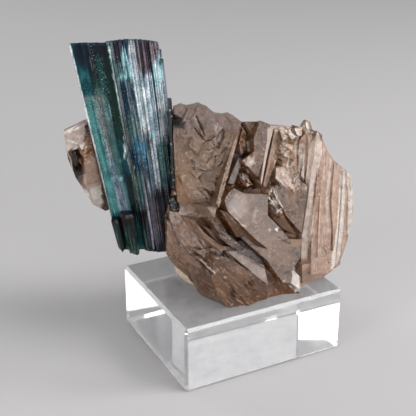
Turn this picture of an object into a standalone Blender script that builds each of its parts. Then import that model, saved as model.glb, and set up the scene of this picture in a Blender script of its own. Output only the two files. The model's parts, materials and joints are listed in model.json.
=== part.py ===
"""Indicolite tourmaline on smoky quartz, standing on a clear acrylic display block.

The origin is the middle of the block's underside. X runs along the block's long side, Y away from the
side that the specimen is seen from, and Z up. Outlines are given in millimetres and become metres when a
solid is made.
"""

import math
import random

import bmesh
import bpy
from mathutils import Matrix, Vector

MM = 0.001

# The display block
BLOCK_LENGTH = 0.064
BLOCK_DEPTH = 0.054
BLOCK_HEIGHT = 0.025
BLOCK_BEVEL = 0.001

# The gap that every two neighbours keep, and the slightly wider one that a pocket keeps around a crystal
GAP = 0.0003
POCKET_GAP = 0.0005

# The tourmaline: its front is turned to the left, and its length is measured upright
TOURMALINE_TURN = math.radians(-27.3)
TOURMALINE_FOOT = 0.0410
TOURMALINE_TOP = 0.1158
TOURMALINE_TOP_SLOPE = 0.60
TOURMALINE_TOP_RISE = 0.03
RIB_STEP = 0.0068

# Steps across the flat side (share of its width, how proud), and the ribs' widths, left to right
FLAT_STEPS = [
    (0.26, 0.00), (0.28, 0.25), (0.50, 0.25), (0.53, 0.0), (0.76, 0.0), (0.79, -0.3), (0.93, -0.3),
    (0.985, 0.2),
]
RIB_WIDTHS = [0.9, 1.6, 0.8, 0.6, 1.9, 2.6, 1.0, 0.7, 1.4, 1.9, 0.8, 0.6, 1.2, 0.7, 0.9, 0.6, 0.8]
BACK_RIB_WIDTHS = [1.2, 0.8, 1.9, 1.0, 2.4, 0.9, 1.5, 1.1, 2.0]

# The quartz: its front stands nearly upright and leans back a little
QUARTZ_FOOT = BLOCK_HEIGHT + GAP
QUARTZ_FOOT_CORNERS = [
    (-11, -19.5, 23.8), (-6, -21, 23.8), (8, -21, 23.8), (17, -19.5, 23.8), (31, -16, 23.8), (33, -6, 23.8),
    (28, 7, 23.8), (8, 14, 23.8), (-8, 14, 23.8), (-12.5, 2, 23.8), (-14, -4, 28.2), (-18.5, -2, 31.8),
    (-22, 0, 34), (-24, 2, 37), (-26, 3, 42), (-27, 1, 47), (-21, -14, 47), (5, -16.5, 47), (37, -14, 47),
    (41, -3, 47), (35, 9.5, 47), (8, 18, 47), (-16, 22, 47),
]
QUARTZ_FRONT_Y = -0.020
QUARTZ_FRONT_LEAN = 0.10

# How far a point seen on the quartz's front moves across and up for each millimetre that it stands proud
SIGHT = (-0.517, 0.499)


# Making and joining solids


def clear_scene():
    for thing in list(bpy.data.objects):
        bpy.data.objects.remove(thing, do_unlink=True)


def material(name, color, roughness, transmission=0.0, ior=1.5):
    made = bpy.data.materials.new(name)
    made.use_nodes = True
    shader = made.node_tree.nodes["Principled BSDF"]
    shader.inputs["Base Color"].default_value = (*color, 1.0)
    shader.inputs["Roughness"].default_value = roughness
    shader.inputs["Metallic"].default_value = 0.0
    shader.inputs["Transmission Weight"].default_value = transmission
    shader.inputs["IOR"].default_value = ior
    made.diffuse_color = (*color, 1.0)
    return made


def to_object(name, bm, finish=None):
    bmesh.ops.recalc_face_normals(bm, faces=bm.faces)
    mesh = bpy.data.meshes.new(name)
    bm.to_mesh(mesh)
    bm.free()
    made = bpy.data.objects.new(name, mesh)
    bpy.context.scene.collection.objects.link(made)
    if finish is not None:
        mesh.materials.append(finish)
    return made


def hull(name, points):
    """A convex solid around points in millimetres."""
    bm = bmesh.new()
    for point in points:
        bm.verts.new(Vector(point) * MM)
    bmesh.ops.convex_hull(bm, input=bm.verts)
    inside = [v for v in bm.verts if not v.link_faces]
    bmesh.ops.delete(bm, geom=inside, context="VERTS")
    return to_object(name, bm)


def skin(name, rings, finish=None):
    """A closed solid through rings of equal length, each a list of points in millimetres."""
    bm = bmesh.new()
    loops = [[bm.verts.new(Vector(point) * MM) for point in ring] for ring in rings]
    count = len(rings[0])
    for low, high in zip(loops, loops[1:]):
        for i in range(count):
            j = (i + 1) % count
            bm.faces.new((low[i], low[j], high[j], high[i]))
    bm.faces.new(reversed(loops[0]))
    bm.faces.new(loops[-1])
    bmesh.ops.triangulate(bm, faces=bm.faces)
    return to_object(name, bm, finish)


def combine(body, tool, operation, tool_overlaps_itself=False):
    """Joins tool to body, or cuts it away, and removes the tool."""
    step = body.modifiers.new(operation.lower(), "BOOLEAN")
    step.operation = operation
    step.solver = "EXACT"
    step.use_self = tool_overlaps_itself
    step.object = tool
    graph = bpy.context.evaluated_depsgraph_get()
    result = bpy.data.meshes.new_from_object(body.evaluated_get(graph))
    body.modifiers.remove(step)
    old = body.data
    body.data = result
    bpy.data.meshes.remove(old)
    bpy.data.objects.remove(tool, do_unlink=True)


def join(body, tool):
    combine(body, tool, "UNION")


def cut(body, tool):
    combine(body, tool, "DIFFERENCE")


def gather(name, solids):
    """One object that holds several solids as they are, for a Boolean to take in a single step."""
    gathered = bmesh.new()
    for solid in solids:
        gathered.from_mesh(solid.data)
        bpy.data.objects.remove(solid, do_unlink=True)
    return to_object(name, gathered)


def keep_outer_skin(body):
    """Drops the small closed hollows that stay between joined solids, and all but the largest skin."""
    bm = bmesh.new()
    bm.from_mesh(body.data)
    bm.faces.ensure_lookup_table()
    unseen = set(bm.faces)
    skins = []
    while unseen:
        edge_of_search = [unseen.pop()]
        found = []
        while edge_of_search:
            face = edge_of_search.pop()
            found.append(face)
            for edge in face.edges:
                for other in edge.link_faces:
                    if other in unseen:
                        unseen.remove(other)
                        edge_of_search.append(other)
        skins.append(found)
    skins.sort(key=len)
    for small in skins[:-1]:
        bmesh.ops.delete(bm, geom=small, context="FACES")
    bm.to_mesh(body.data)
    bm.free()


def in_triangles(body):
    bm = bmesh.new()
    bm.from_mesh(body.data)
    bmesh.ops.triangulate(bm, faces=bm.faces)
    bm.to_mesh(body.data)
    bm.free()


# The smoky quartz's sides, as planes that its ledges stand on


def front_y(x, z):
    """The broad front, in millimetres, at a place across and up."""
    return QUARTZ_FRONT_Y / MM + QUARTZ_FRONT_LEAN * (z - BLOCK_HEIGHT / MM)


def etched_slope_y(x, z):
    """The etched slope at the upper left, which turns away to the left."""
    return -12.5 - 0.62 * (x + 15) + 0.16 * (z - 61)


def rough_foot_y(x, z):
    """The rough mass at the lower left."""
    return -14.3 - 0.10 * (x + 21) + 0.10 * (z - 47)


def glassy_foot_y(x, z):
    """The glassy mass at the front of the foot."""
    return front_y(x, z) - 1.2


def wing_y(x, z):
    """The front of the wing behind the tourmaline."""
    return 17.4 + 0.02 * (x + 50)


def back_y(x, z):
    """The back, which turns away to the right and leans in towards the top."""
    return 17.0 - 0.36 * (x - 8) - 0.12 * (z - 55)


def ledge(name, side, outline, proud, turn, nod, depth):
    """A flat ledge with an outline across and up, standing proud of one of the quartz's sides.

    turn is how much prouder it gets to the right, nod how much prouder upwards. What stands proud of a seen
    side is drawn out along the line of sight, so that its outline stays where it is seen. The walls all run
    back from one far point in front of the ledge, so they are flat and widen into the mass.
    """
    outward = 1 if side is back_y else -1
    sight = (0, 0) if side is back_y else SIGHT
    cx = sum(x for x, z in outline) / len(outline)
    cz = sum(z for x, z in outline) / len(outline)
    height = max(z for x, z in outline) - min(z for x, z in outline)
    run_x, run_z, reach = -0.20, -0.17, 66 + 5 * height
    if side in (etched_slope_y, wing_y):
        run_x, run_z, reach = 0.40, -0.22, 300
    if side is front_y and cz > 74:
        run_x, run_z = 0.10, -0.50
    apex = Vector((cx - run_x * reach, side(cx, cz) + outward * reach, cz - run_z * reach))

    def sunk(place):
        return -outward * (place.y - side(place.x, place.z))

    face = []
    root = []
    for x, z in outline:
        rise = proud + turn * (x - cx) + nod * (z - cz)
        place = Vector((x + sight[0] * rise, side(x, z) + outward * rise, z + sight[1] * rise))
        face.append(place)
        root.append(apex + (place - apex) * (depth - sunk(apex)) / (sunk(place) - sunk(apex)))
    return skin(name, [root, face])


def shingle(edge, reach_x, reach_z):
    """An outline whose lower edge follows a wandering line and whose other side lies reach away from it."""
    return edge + [(x + reach_x, z + reach_z) for x, z in reversed(edge)]


def pit(name, side, outline, depth, narrow=0.55):
    """A cutter for a hollow in one of the quartz's sides, narrowing to its floor."""
    outward = 1 if side is back_y else -1
    cx = sum(x for x, z in outline) / len(outline)
    cz = sum(z for x, z in outline) / len(outline)
    rings = []
    for size, level in ((narrow, -depth), (1.0, 0.0), (1.3, 2.5)):
        rings.append([
            (cx + size * (x - cx), side(x, z) + outward * level, cz + size * (z - cz)) for x, z in outline
        ])
    return skin(name, rings)


def quartz_mass():
    """The broken mass behind the ledges: foot, trunk, shoulders, rear and wing."""
    foot = hull("foot", QUARTZ_FOOT_CORNERS)
    chunks = {
        "trunk": [
            (-20, -14, 40), (5, -15.5, 40), (36, -14, 38), (41, -4, 40), (34, 9, 40), (8, 17, 40),
            (-14, 21, 40), (-27, -2, 42), (-27, -3, 54), (-15, -12.0, 62), (6, -12.8, 67),
            (39, -12.5, 66), (41, -3, 66), (35, 8, 66), (6, 17, 67), (-22, 22, 67), (-23.4, -1, 64.5),
        ],
        "right shoulder": [
            (19, -11.5, 58), (40, -12, 58), (42, -3, 58), (34, 8, 58), (12, 14, 58), (22, -9.5, 83),
            (25, -9.5, 81.5), (40, -10, 62.5), (38.5, -1, 62.5), (24, -2, 80), (19, 5, 77), (8, 10, 78),
        ],
        "upper middle": [
            (-7, -10, 58), (21, -11.5, 58), (21, 7, 58), (-6, 16, 58), (-4, -7.5, 88), (8, -8.5, 85.5),
            (20, -9, 83.5), (19, -1, 82), (2, 6, 83), (-6, 3, 87),
        ],
        "upper left": [
            (-16, -9.5, 58), (-3, -10, 58), (-22.5, -1, 58), (-24, 20, 58), (-3, 16, 58),
            (-4, -8.0, 88.0), (-8, -7.6, 91.0), (-12, -6.0, 92.0), (-17, -3.0, 94.0), (-22, 0.5, 93.6),
            (-24, 6, 91), (-22, 14, 84), (-6, 10, 86),
        ],
        "rear": [
            (-24, 16, 42), (-10, 14, 34), (6, 15, 34), (4, 23, 42), (-14, 25.5, 44), (-38, 20, 54),
            (-38, 27, 58), (-10, 26, 72), (-36, 27.5, 78), (-44, 21, 66), (-40, 19, 87), (-22, 12, 88.5),
            (-24, 22, 86), (-4, 18, 78), (-4, 12, 84),
        ],
        "wing": [
            (-41.5, 18, 53.3), (-44, 18, 55.8), (-46, 18, 56.6), (-47.4, 18, 62.4), (-49.8, 18, 64.3),
            (-51.9, 18, 68.2), (-54, 18, 76.4), (-55.4, 17, 84.5), (-51.5, 16.5, 86.4), (-46.5, 17, 88.6),
            (-36, 18, 88.5), (-34, 16, 56), (-44, 26, 62), (-50, 25, 74), (-49, 26, 83), (-36, 28, 84),
            (-32, 28, 60),
        ],
        "tip crystal": [
            (19.8, -11, 81), (21, -14.6, 82), (24.6, -14.6, 81.6), (26, -11, 79), (23, -8.5, 80),
            (20.2, -12.4, 85.6), (21.6, -13.2, 86.9), (23.8, -12.6, 86), (22.6, -10.6, 86.4),
        ],
    }
    return [foot] + [hull(name, points) for name, points in chunks.items()]


# Each ledge is an outline across and up, then how proud it stands, its turn and its nod
FRONT_LEDGES = {
    # The long ridge's pale strip, running down to the left
    "ridge strip": ([(-5.2, 89.4), (-3.4, 90.2), (-8.9, 76), (-13.8, 62.5), (-14.8, 64), (-10.8, 75)],
                    1.0, -0.55, 0),
    # The recess beside the ridge, with its small broken faces
    "recess block": ([(-2.3, 83.8), (-0.3, 83.6), (-0.2, 79.8), (-1.8, 80.0)], -1.6, 0.3, -0.2),
    "recess strip": ([(-5.4, 78.6), (-3.9, 77.8), (-7.6, 69.7), (-9.8, 70.5)], -1.4, 0.35, -0.1),
    "recess shelf": ([(-3.6, 77.7), (-0.5, 78.0), (0.0, 76.6), (-2.6, 75.2), (-4.2, 75.9)],
                     -1.2, 0.1, -0.6),
    "recess floor": ([(-4.9, 73.3), (-2.7, 72.6), (-0.5, 67.9), (-2.9, 67.7), (-5.3, 70.6)],
                     -1.5, 0.4, -0.4),
    "recess wedge": ([(-3.3, 89.6), (-1.0, 84.6), (-1.4, 80.6), (-4.4, 79.6), (-5.2, 83.0)],
                     -2.2, -0.4, 0.1),
    # The small three-cornered facet and the two-faced blade at the top
    "corner facet": ([(-2.8, 90.2), (2.0, 89.6), (0.2, 84.4)], 0.5, -0.1, 0.1),
    "blade": ([(3.0, 89.6), (6.8, 87.6), (2.4, 69.6), (1.2, 70.4), (-4.2, 77.2), (0.4, 79.4), (0.4, 84.0)],
              2.3, 0.16, -0.05),
    "blade strip": ([(6.6, 87.7), (8.4, 86.4), (5.4, 77.5), (2.6, 66.8), (2.2, 69.9), (4.6, 79)],
                    2.0, -0.75, 0),
    "blade wall": ([(8.9, 86.2), (11.4, 85.0), (9.4, 75.0), (4.6, 66.2), (3.4, 67.0), (6.4, 77.0)],
                   -0.4, -0.5, 0),
    # Broken facets between the blade and the right block
    "high facet": ([(10.8, 85.4), (14.6, 85.0), (14.2, 82.4), (11.6, 81.6)], 0.2, 0.1, -0.45),
    "high chip": ([(14.6, 84.8), (17.0, 82.0), (15.6, 81.0), (13.4, 83.8)], 1.1, 0.2, -0.5),
    "high wedge": ([(16.6, 85.0), (19.8, 85.2), (19.4, 81.8), (17.4, 82.4)], 0.7, -0.3, -0.35),
    "curved flake": ([(11.4, 80.3), (13.8, 80.2), (16.1, 79.2), (15.1, 77.7), (12.0, 79.1)],
                     0.9, 0.1, -0.5),
    "curved bar": ([(11.6, 77.8), (15.0, 76.6), (16.4, 73.4), (14.9, 74.6), (12.0, 76.0)], 0.6, 0.3, -0.3),
    "wide facet": ([(9.0, 72.2), (11.8, 72.4), (14.4, 69.6), (14.6, 64.7), (10.8, 65.2), (8.5, 68.6)],
                   1.2, 0.22, -0.12),
    "left streak": ([(18.4, 80.6), (19.9, 81.8), (19.5, 73.0), (18.1, 66.9), (17.3, 71.0), (17.9, 76.0)],
                    0.5, 0.5, 0.05),
    "middle streak": ([(20.0, 82.3), (21.6, 82.0), (21.3, 72.0), (19.9, 65.6), (18.9, 67.6), (19.9, 75.0)],
                      1.1, -0.5, 0.02),
    "right streak": ([(21.8, 81.8), (23.9, 81.6), (23.2, 70.0), (21.4, 63.6), (20.7, 65.8), (21.8, 74.0)],
                     1.2, 0.35, 0.0),
    # The right block, with its bright left bevel, its long panels and its foot
    "right block": ([(26.4, 81.0), (29.8, 74.4), (33.2, 69.6), (37.4, 66.6), (39.6, 63.4), (40.2, 61.6),
                     (40.4, 48.4), (38.6, 40.0), (36.0, 33.6), (30.0, 28.6), (22.4, 30.0), (22.4, 46.0),
                     (24.4, 60.0)], 2.9, -0.08, 0.02),
    "block bevel": ([(25.2, 82.4), (27.2, 80.6), (25.2, 60.0), (23.6, 45.0), (23.0, 33.6), (18.4, 35.4),
                     (19.0, 45.0), (21.6, 60.0)], 2.6, 0.42, 0),
    "panel one": ([(27.6, 77.6), (29.2, 74.8), (27.8, 60.0), (27.2, 44.0), (26.6, 37.0), (25.0, 36.0),
                   (25.4, 46.0), (26.2, 62.0)], 3.4, -0.25, 0),
    "panel two": ([(30.0, 73.4), (31.5, 71.6), (30.0, 56.0), (31.0, 45.0), (30.4, 36.0), (28.0, 36.4),
                   (28.4, 46.0), (28.8, 60.0)], 3.3, 0.22, 0),
    "panel three": ([(32.4, 70.0), (35.4, 67.6), (34.8, 54.0), (33.6, 42.0), (31.8, 37.0), (31.8, 46.0),
                     (31.0, 56.0)], 3.4, -0.22, 0),
    "white strip": ([(36.2, 66.6), (37.7, 65.8), (37.3, 54.0), (36.9, 49.0), (35.0, 31.0), (33.0, 30.0),
                     (34.6, 44.0), (35.6, 54.0)], 3.4, 0.30, 0),
    "outer strip": ([(38.4, 64.6), (39.6, 63.6), (40.3, 60.6), (40.6, 50.0), (39.6, 45.0), (38.4, 41.0),
                     (38.2, 50.0)], 2.9, 0.28, 0),
    "block foot": ([(18.6, 34.6), (30.0, 34.0), (34.6, 33.6), (31.8, 29.0), (27.0, 26.9), (19.0, 27.0)],
                   1.6, 0.0, 0.36),
    # The large centre plate with its two lobes, and the facet above it to the right
    "centre upper": ([(-11.6, 64.4), (-10.0, 66.8), (-7.8, 68.2), (-4.0, 65.6), (5.2, 63.4), (4.8, 56.0),
                      (10.4, 49.4), (4.4, 44.0), (-1.0, 49.2), (-10.2, 60.2)], 2.7, 0.14, -0.20),
    "centre lower": ([(-5.6, 49.8), (-1.0, 51.0), (4.6, 53.0), (10.4, 49.6), (13.4, 45.4), (18.8, 44.2),
                      (17.6, 37.8), (14.8, 34.4), (13.6, 29.2), (10.2, 29.8), (4.4, 39.2)],
                     2.5, 0.10, -0.16),
    "upper facet": ([(7.4, 65.0), (12.0, 68.6), (17.0, 67.4), (21.2, 63.4), (18.4, 46.6), (12.4, 54.6)],
                    1.5, 0.24, -0.10),
    "band step": ([(5.6, 61.6), (8.6, 61.0), (12.6, 52.6), (16.8, 46.2), (11.0, 49.8), (6.4, 55.6)],
                  0.2, 0.35, 0.10),
    "band chip": ([(6.0, 63.6), (8.0, 63.8), (11.0, 57.6), (9.6, 57.2)], 1.0, 0.6, -0.3),
    # The steps that fall away to the lower left
    "first step": ([(-13.4, 61.6), (-11.0, 60.4), (-1.2, 49.4), (-7.4, 50.6)], 0.7, 0.3, 0.1),
    "pale corner": ([(-18.1, 63.3), (-14.4, 63.5), (-15.6, 59.4)], 1.7, 0.2, -0.3),
    "upper sliver": ([(-16.9, 58.6), (-15.4, 57.6), (-9.5, 50.6), (-13.8, 53.0)], 1.3, 0.3, -0.2),
    "light step": ([(-11.8, 46.4), (-7.8, 45.6), (3.0, 37.8), (4.4, 30.2), (1.4, 33.0)], 1.5, 0.12, -0.14),
    "long sliver": ([(-23.0, 59.8), (-20.1, 55.2), (-14.4, 49.4), (-8.7, 46.4), (-14.0, 47.0),
                     (-19.8, 52.6)], -0.6, 0.35, 0.0),
    "small step": ([(-15.8, 56.0), (-13.4, 54.4), (-5.8, 47.4), (-8.8, 46.8), (-13.4, 51.2)],
                   0.8, 0.15, -0.1),
    "riser foot": ([(3.4, 37.0), (9.8, 30.0), (17.6, 24.0), (9.2, 23.6), (4.4, 24.0), (4.6, 29.4)],
                   0.6, 0.35, 0.2),
    "flake": ([(14.4, 34.0), (18.0, 29.8), (17.2, 25.6), (13.8, 28.8)], 2.4, 0.3, -0.3),
    "rough foot": ([(-12.0, 44.4), (1.2, 33.8), (4.2, 29.0), (3.6, 24.2), (-5.4, 24.0), (-11.0, 24.4),
                    (-15.2, 30.0), (-18.0, 38.0), (-16.0, 45.6)], 1.2, 0.05, 0.05),
}

# The etched slope, its terraces one above another, and the two faces that fan out below them
SLOPE_LEDGES = {
    "etched slope": ([(-4.4, 90.6), (-6.6, 92.6), (-8.0, 93.4), (-9.9, 92.9), (-12.1, 93.3),
                      (-13.8, 95.2), (-15.9, 96.3), (-17.8, 95.9), (-19.3, 95.4), (-21.0, 95.9),
                      (-23.2, 95.0), (-24.0, 85.0), (-24.6, 66.0), (-22.0, 59.5), (-15.0, 61.0),
                      (-11.4, 72.0), (-7.4, 83.0)], 0.0, 0, 0),
    "low terrace": ([(-20.4, 66.5), (-18.3, 71.1), (-15.9, 73.5), (-13.6, 74.2), (-11.2, 76.5),
                     (-8.4, 84.0), (-7.2, 90.2), (-9.2, 92.2), (-14.0, 94.0), (-19.4, 94.4),
                     (-22.9, 88.0), (-23.4, 76.0)], 0.35, 0.02, 0.01),
    "middle hump": ([(-16.9, 81.0), (-14.0, 84.2), (-11.6, 86.6), (-11.2, 90.2), (-13.4, 94.6),
                     (-16.2, 95.8), (-18.4, 91.0), (-18.6, 85.0)], 0.8, 0.05, 0.02),
    "fan face": ([(-24.0, 75.6), (-17.9, 71.1), (-14.9, 65.0), (-20.6, 63.6), (-24.2, 70.2)],
                 0.7, 0.12, -0.1),
    "fan edge": ([(-24.2, 71.8), (-21.0, 64.4), (-22.4, 60.4), (-24.4, 63.0)], 0.5, -0.25, 0.1),
    "shingle one": (shingle([(-17.4, 79.6), (-15.8, 83.1), (-13.4, 85.7), (-11.5, 87.3)],
                    -2.5, 2.7), 1.0, 0.10, -0.22),
    "shingle two": ([(-17.4, 77.9), (-14.9, 76.6), (-13.2, 79.1), (-16.3, 80.6)], 0.75, 0.06, -0.22),
    "shingle eight": ([(-13.5, 78.8), (-11.0, 80.6), (-8.9, 83.1), (-11.9, 82.6)], 0.8, 0.08, -0.25),
    "shingle three": (shingle([(-18.4, 75.4), (-15.9, 73.9), (-13.9, 74.9), (-12.4, 77.8), (-10.2, 80.3)],
                      -1.0, 2.9), 0.70, 0.08, -0.22),
    "shingle four": (shingle([(-18.3, 71.1), (-15.9, 73.5), (-13.6, 74.4)], -1.4, 2.4), 0.75, 0.12, -0.28),
    "shingle five": (shingle([(-18.0, 69.3), (-15.5, 67.2), (-12.9, 66.8)], -0.6, 3.2), 0.6, 0.10, -0.26),
    "shingle six": (shingle([(-21.4, 79.8), (-20.0, 77.6), (-18.2, 78.2)], -0.8, 3.0), 0.6, 0.08, -0.22),
    "shingle seven": (shingle([(-22.4, 86.8), (-20.6, 84.2), (-19.0, 85.4), (-17.6, 84.4)],
                      -0.6, 2.6), 0.6, 0.1, -0.3),
}

WING_LEDGES = {
    "wing roof": ([(-55.2, 85.6), (-51.2, 87.2), (-47.4, 88.7), (-46.0, 84.0), (-49.1, 80.5),
                   (-52.1, 79.6), (-53.6, 77.9), (-54.5, 81.0)], 1.2, -0.1, -0.35),
    "wing shelf": ([(-50.4, 81.0), (-47.6, 82.2), (-46.0, 78.6), (-49.0, 77.8)], 1.6, 0.1, -0.5),
    "wing side": ([(-49.6, 75.0), (-45.0, 77.0), (-41.5, 57.0), (-43.8, 56.2), (-45.8, 57.6),
                   (-47.2, 62.8), (-49.4, 65.4)], 1.0, 0.1, 0.08),
    "wing rim": ([(-54.4, 78.6), (-53.6, 77.4), (-51.9, 69.4), (-52.3, 69.4), (-54.2, 75.8)], 0.9, -0.3, 0),
}

BACK_LEDGES = {
    "back slab": ([(-31, 53), (-13, 47), (-8, 62), (-13, 77), (-26, 80), (-34, 68)], 0.6, 0.10, 0.02),
    "slab step": ([(-26, 56), (-17, 53), (-14, 64), (-18, 74), (-28, 70)], 1.3, 0.04, 0.03),
    "slab chip": ([(-24, 76), (-16, 75), (-14, 81), (-21, 84)], -0.8, 0.02, -0.12),
    "back face": ([(-7, 37), (12, 33), (18, 50), (8, 66), (-5, 58)], 1.6, 0.04, -0.08),
    "face step": ([(-3, 42), (9, 38), (13, 50), (5, 60), (-3, 54)], 2.3, 0.08, 0.02),
    "back right": ([(15, 40), (30, 36), (36, 52), (24, 66), (17, 56)], 2.6, -0.12, 0.02),
    "right step": ([(20, 44), (29, 42), (31, 54), (24, 60)], 3.2, 0.05, 0.08),
    "back blade": ([(-3, 64), (9, 69), (13, 78), (0, 80), (-6, 74)], -3.0, 0.05, -0.1),
    "blade step": ([(0, 66), (6, 68), (9, 75), (1, 76)], -2.2, 0.12, -0.1),
    "back low": ([(-15, 36), (3, 28), (11, 34), (-2, 43), (-14, 45)], 1.2, 0.03, 0.35),
    "back foot": ([(6, 27), (22, 27), (26, 35), (12, 38)], 2.2, -0.08, 0.55),
}

PITS = {
    # name: side, outline, depth
    "fold": (etched_slope_y, [(-12.5, 83.4), (-11.8, 81.8), (-10.6, 83.6), (-9.8, 86.6), (-10.0, 89.0),
                              (-11.6, 86.6)], 0.6),
    "upper hatch": (etched_slope_y, [(-17.8, 92.9), (-16.9, 90.0), (-15.4, 86.3), (-16.0, 90.0)], 0.3),
    "lower hatch": (etched_slope_y, [(-18.4, 89.0), (-17.0, 86.4), (-15.7, 84.8), (-16.8, 87.6)], 0.2),
    "corner notch": (etched_slope_y, [(-25.2, 94.0), (-21.2, 91.3), (-21.8, 89.4), (-25.4, 87.4)], 2.6),
    "wing hollow": (wing_y, [(-52.9, 78.2), (-50.6, 79.0), (-49.6, 75.4), (-49.2, 70.4), (-51.2, 69.0),
                             (-52.9, 73.6)], 2.6),
}

# The rough lower left is drawn out in slivers that run down to the right: count, seed, where they start
# (from x, to x, from z, to z) and how much lower they start for each millimetre across
ROUGH_SLIVERS = (16, 11, -22.5, -5.5, 58.0, 36.0, -0.35)
FOOT_SLIVERS = (9, 4, -13.5, -1.0, 39.0, 30.0, -0.30)


def slivers(name, count, seed, from_x, to_x, from_z, to_z, fall):
    rng = random.Random(seed)
    drawn = {}
    for i in range(count):
        x = from_x + (to_x - from_x) * (0.8 * i / (count - 1) + 0.2 * rng.random())
        z = from_z + (to_z - from_z) * rng.random() + fall * (x - from_x)
        length = rng.uniform(6.0, 12.0)
        width = rng.uniform(0.5, 1.1)
        lean = rng.uniform(0.50, 0.75)
        drop = math.sqrt(1 - lean * lean)
        outline = [
            (x, z),
            (x + width + 0.3 * length * lean, z - 0.3 * length * drop + 0.4 * width),
            (x + length * lean, z - length * drop),
            (x - 0.5 * width + 0.5 * length * lean, z - 0.55 * length * drop),
        ]
        drawn[f"{name} {i}"] = (outline, rng.uniform(0.3, 1.0), rng.uniform(-0.5, 0.7), 0)
    return drawn


def quartz_ledges():
    """Every ledge, each rooted a little deeper than the last, so that no two roots line up."""
    made = []
    for side, ledges, root in (
        (etched_slope_y, SLOPE_LEDGES, 4.0),
        (front_y, FRONT_LEDGES, 6.0),
        (rough_foot_y, slivers("rough sliver", *ROUGH_SLIVERS), 3.0),
        (glassy_foot_y, slivers("foot sliver", *FOOT_SLIVERS), 2.4),
        (wing_y, WING_LEDGES, 4.0),
        (back_y, BACK_LEDGES, 7.0),
    ):
        for order, (name, (outline, proud, turn, nod)) in enumerate(ledges.items()):
            made.append(ledge(name, side, outline, proud, turn, nod, depth=root + 0.13 * order))
    return made


# The tourmaline: its small crystals' foot, top, half widths at the top, narrowing, sides, ribs and seed
STUBS = {
    "outer stub": ((-38.6, 11.4, 42.4), (-40.7, 11.2, 54.4), (1.75, 2.6), 0.84, 6, 2, 3),
    "inner stub": ((-34.4, 11.8, 41.3), (-36.6, 11.9, 56.8), (2.80, 3.0), 0.66, 6, 3, 7),
}
NEEDLE = ((-20.2, 12.3, 66.0), (-21.1, 12.0, 98.0), (0.75, 0.75), 0.9, 6, 1, 5)


def tourmaline_edges(z):
    """The tourmaline's left edge, the line where its ribs start and its right edge, across, at a height."""
    up = z - TOURMALINE_FOOT / MM
    return -40.3 - 0.179 * up, -31.0 - 0.133 * up, -17.4 - 0.088 * up


def tourmaline_ring(z, shrink=0.0):
    """One level's outline, across and towards the front, from the left bevel round to the back ribs."""
    left, start, right = tourmaline_edges(z)
    flat = start - left
    ribbed = right - start
    ring = [(left, 9.1), (left + 0.05 * flat, 10.0)]
    ring += [(left + part * flat, 10.0 + proud) for part, proud in FLAT_STEPS]
    total = sum(RIB_WIDTHS)
    across = 0.0
    for width in RIB_WIDTHS:
        for part, proud in ((0.0, -0.30), (0.15, 0.10), (0.5, 0.26), (0.85, 0.10)):
            share = (across + part * width) / total
            swell = 10.3 + 1.9 * math.sin(math.pi * min(1.0, share * 0.9 + 0.05)) - 2.2 * share ** 3
            ring.append((start + share * ribbed, swell + proud * min(1.4, width)))
        across += width
    ring += [(right, 7.6), (right + 0.2, 4.6), (right - 0.6, 1.0), (right - 3.2, -2.2)]
    total = sum(BACK_RIB_WIDTHS)
    across = 0.0
    span = (right - 4.0) - (left + 3.0)
    for width in BACK_RIB_WIDTHS:
        for part, proud in ((0.0, -0.3), (0.3, 0.2), (0.7, 0.2)):
            share = (across + part * width) / total
            bulge = -3.8 - 1.0 * math.sin(math.pi * share) + 2.4 * share
            ring.append((right - 4.0 - share * span, bulge - proud))
        across += width
    ring += [(left + 2.0, -1.0), (left + 0.6, 1.6), (left, 5.0)]
    middle = (left + right) / 2
    return [(middle + (1 - shrink) * (a - middle), 4 + (1 - shrink) * (b - 4)) for a, b in ring]


def placed(points_across, z):
    """Turns points given across and towards the front into places, in millimetres."""
    turn = Matrix.Rotation(TOURMALINE_TURN, 3, "Z")
    return [tuple(turn @ Vector((a, -b, z))) for a, b in points_across]


def main_crystal(finish):
    """The main crystal, a ribbed and flat-sided prism cut by a slanting top, and the stubs grown on it."""
    foot = TOURMALINE_FOOT / MM
    levels = [(foot, 0.10), (foot + 1.6, 0.0), (foot + 26, 0.0), (foot + 52, 0.0), (foot + 84, 0.0)]
    rings = [placed(tourmaline_ring(z, shrink), z) for z, shrink in levels]
    crystal = skin("tourmaline_crystal", rings, finish)
    rise = TOURMALINE_TOP_SLOPE
    top = TOURMALINE_TOP / MM
    corners = [(-80, -30), (0, -30), (0, 40), (-80, 40)]
    left, _, _ = tourmaline_edges(top)
    low = [(a, b, top + rise * (b - 10) + TOURMALINE_TOP_RISE * (a - left)) for a, b in corners]
    lid = []
    for offset in (0, 60):
        turn = Matrix.Rotation(TOURMALINE_TURN, 3, "Z")
        lid.append([tuple(turn @ Vector((a, -b, z + offset))) for a, b, z in low])
    cut(crystal, skin("top cutter", lid))
    _, _, right = tourmaline_edges(top - 2)
    low_rib = [(right - 0.9, 12), (right - 0.7, 2), (right + 3, 2), (right + 3, 12)]
    cut(crystal, skin("rib cutter", [placed(low_rib, z) for z in (top - RIB_STEP / MM, top + 20)]))
    for name, stub in STUBS.items():
        join(crystal, slim_crystal(name, None, *stub))
    in_triangles(crystal)
    crystal.data.materials.clear()
    crystal.data.materials.append(finish)
    return crystal


def grown_hull(name, rings, gap):
    """A convex solid around rings of points, grown outwards from their middle by a gap."""
    points = []
    for ring in rings:
        middle = sum((Vector(p) for p in ring), Vector()) / len(ring)
        for point in ring:
            outward = Vector(point) - middle
            outward.z = 0
            points.append(Vector(point) + outward.normalized() * gap / MM)
    return hull(name, points)


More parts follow.
